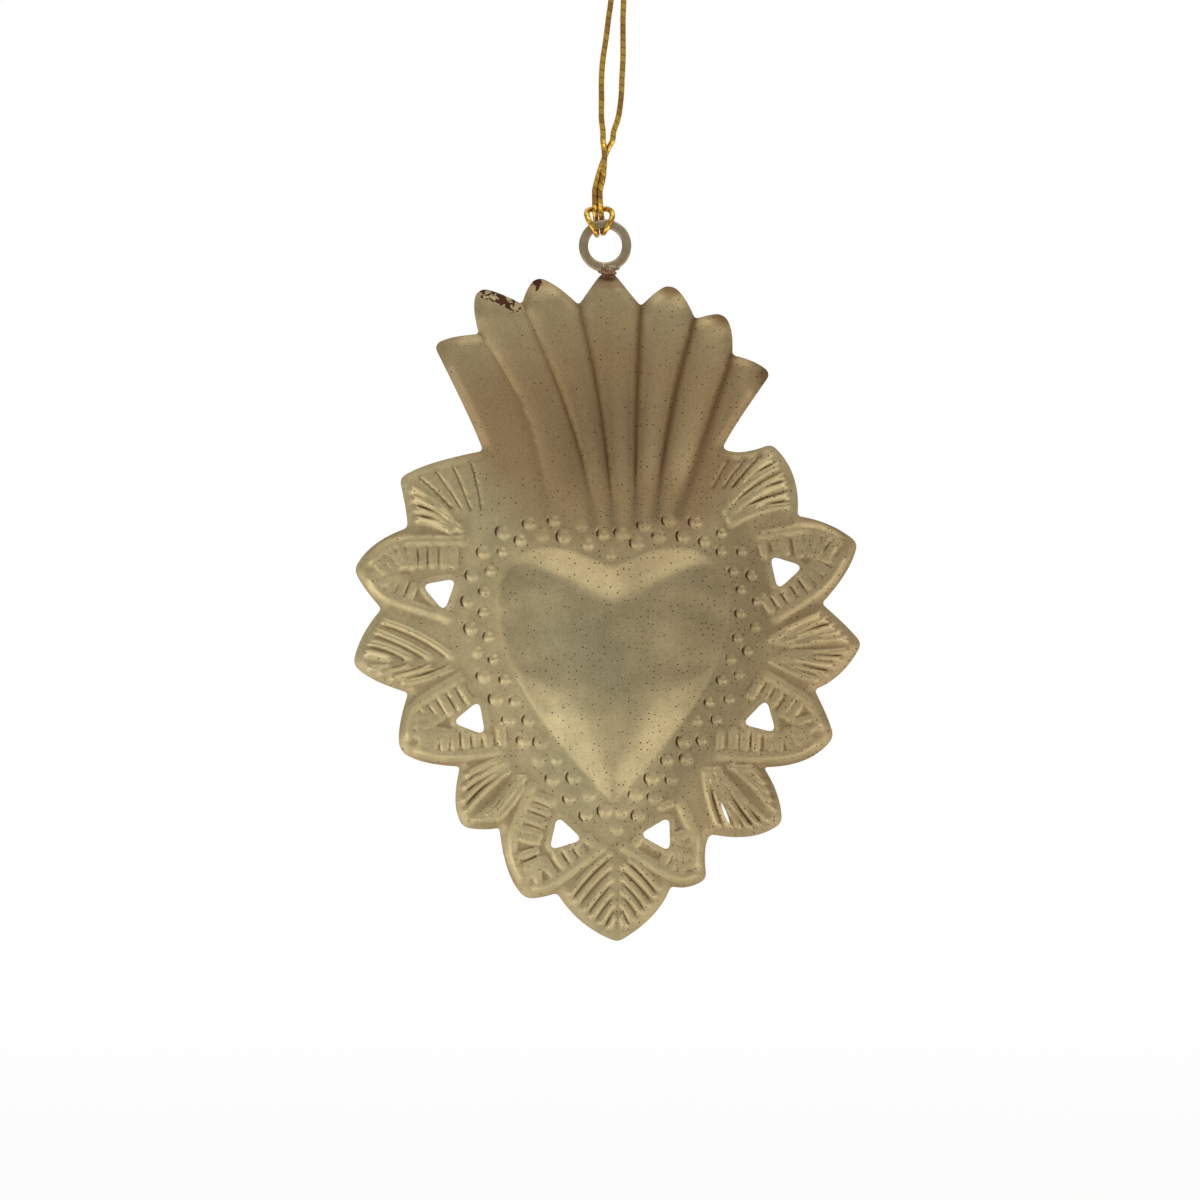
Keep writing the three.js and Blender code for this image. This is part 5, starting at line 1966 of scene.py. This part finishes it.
@dataclass
class Studio:
    """A pale floor, soft light and a camera square to the ornament's face, as for a product photograph."""

    frame_height: float = 240.0
    frame_middle: Point = (-2.6, -132.3)
    distance: float = 1000.0
    sensor: float = 36.0
    floor_drop: float = 300.0
    floor_radius: float = 1200.0
    pale: str = "f4f3f0"
    room_level: float = 0.46
    ceiling_level: float = 0.5
    lamps: Sequence[tuple[str, Point3, Point, float]] = (
        ("top_box", (120, -380, 560), (900, 450), 2.0),
        ("left_low_card", (-170, -150, -285), (240, 240), 0.4),
        ("right_low_card", (165, -150, -285), (240, 240), 0.33),
    )

    def camera(self) -> None:
        """Sets up the camera so that the frame has its height at the ornament."""
        data = bpy.data.cameras.new("camera")
        data.sensor_width = self.sensor
        data.lens = self.sensor * self.distance / self.frame_height
        data.clip_start, data.clip_end = 0.01, 100.0
        camera = bpy.data.objects.new("camera", data)
        camera.location = Vector((self.frame_middle[0], -self.distance, self.frame_middle[1])) * MM
        camera.rotation_euler = (math.pi / 2, 0, 0)
        bpy.context.scene.collection.objects.link(camera)
        bpy.context.scene.camera = camera

    def floor(self) -> None:
        """Lays the floor below the ornament, fading out at its edge so that no horizon shows."""
        bpy.ops.object.select_all(action="DESELECT")
        place = (0, 0, -self.floor_drop * MM)
        bpy.ops.mesh.primitive_circle_add(
            vertices=96, radius=self.floor_radius * MM, fill_type="NGON", location=place)
        floor = bpy.context.object
        floor.name = "studio_floor"
        material, tree, shader = start_material("matt_pale_floor")
        shader.inputs["Base Color"].default_value = linear(self.pale)
        shader.inputs["Roughness"].default_value = 0.9
        light = add_node(tree, "ShaderNodeEmission", None, {"Color": grey(1.0), "Strength": 1.0})
        path = add_node(tree, "ShaderNodeLightPath")
        seen = path.outputs["Is Camera Ray"]
        for kind in ("Is Glossy Ray", "Is Transmission Ray"):
            seen = add_node(tree, "ShaderNodeMath", {"operation": "MAXIMUM"}, {
                0: seen, 1: path.outputs[kind]}).outputs["Value"]
        share = add_node(tree, "ShaderNodeMath", {"operation": "MULTIPLY"}, {0: seen, 1: 0.8})
        white = add_node(tree, "ShaderNodeMixShader", None, {
            "Fac": share.outputs["Value"], 1: shader.outputs["BSDF"], 2: light.outputs["Emission"]})
        place = add_node(tree, "ShaderNodeTexCoord").outputs["Object"]
        away = add_node(tree, "ShaderNodeVectorMath", {"operation": "LENGTH"}, {0: place})
        edge = add_node(tree, "ShaderNodeMapRange", {"interpolation_type": "SMOOTHSTEP"}, {
            "Value": away.outputs["Value"],
            "From Min": 0.2 * self.floor_radius * MM, "From Max": 0.95 * self.floor_radius * MM})
        below = add_node(tree, "ShaderNodeNewGeometry").outputs["Backfacing"]
        gone = add_node(tree, "ShaderNodeMath", {"operation": "MAXIMUM"}, {
            0: edge.outputs["Result"], 1: below})
        clear = add_node(tree, "ShaderNodeBsdfTransparent")
        both = add_node(tree, "ShaderNodeMixShader", None, {
            "Fac": gone.outputs["Value"], 1: white.outputs["Shader"], 2: clear.outputs["BSDF"]})
        tree.links.new(both.outputs["Shader"], tree.nodes["Material Output"].inputs["Surface"])
        floor.data.materials.append(material)

    def world(self) -> None:
        """Lights the room: a white wall behind the ornament, pale walls around it, and bright above."""
        world = bpy.data.worlds.new("studio")
        world.use_nodes = True
        tree = world.node_tree
        place = add_node(tree, "ShaderNodeTexCoord").outputs["Generated"]
        parts = add_node(tree, "ShaderNodeSeparateXYZ", None, {"Vector": place})
        wall = add_node(tree, "ShaderNodeMapRange", {"interpolation_type": "SMOOTHSTEP"}, {
            "Value": parts.outputs["Y"], "From Min": 0.5, "From Max": 0.95,
            "To Min": self.room_level, "To Max": 1.0})
        top = add_node(tree, "ShaderNodeMapRange", {"interpolation_type": "SMOOTHSTEP"}, {
            "Value": parts.outputs["Z"], "From Min": 0.25, "From Max": 0.95,
            "To Max": self.ceiling_level})
        level = add_node(tree, "ShaderNodeMath", {"operation": "ADD"}, {
            0: wall.outputs["Result"], 1: top.outputs["Result"]})
        back = tree.nodes["Background"]
        back.inputs["Color"].default_value = grey(1.0)
        tree.links.new(level.outputs["Value"], back.inputs["Strength"])
        bpy.context.scene.world = world

    def lamp(self, name: str, place: Point3, size: Point, power: float) -> None:
        """Hangs a soft box that faces the ornament.

        Args:
            name: The lamp's name.
            place: Its place in millimetres.
            size: Its width and height in millimetres.
            power: Its power in watts.
        """
        data = bpy.data.lights.new(name, "AREA")
        data.shape = "RECTANGLE"
        data.size, data.size_y = size[0] * MM, size[1] * MM
        data.energy = power
        lamp = bpy.data.objects.new(name, data)
        lamp.location = Vector(place) * MM
        aim = Vector((self.frame_middle[0], 0, self.frame_middle[1])) * MM - lamp.location
        lamp.rotation_mode = "QUATERNION"
        lamp.rotation_quaternion = aim.to_track_quat("-Z", "Y")
        bpy.context.scene.collection.objects.link(lamp)

    def build(self) -> None:
        """Sets up the studio."""
        bpy.context.scene.view_settings.view_transform = "Standard"
        self.camera()
        self.floor()
        self.world()
        for lamp in self.lamps:
            self.lamp(*lamp)


def main() -> None:
    """Builds the studio and the ornament's pieces in order."""
    logging.basicConfig(level=logging.INFO, format="%(name)s: %(message)s")
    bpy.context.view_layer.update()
    Studio().build()
    for piece in (*Cord().build(), PressedPlate().build(), HangingRing().build(), SolderJoint().build()):
        LOG.info("%s has %d faces", piece.name, len(piece.data.polygons))


if __name__ == "__main__":
    main()
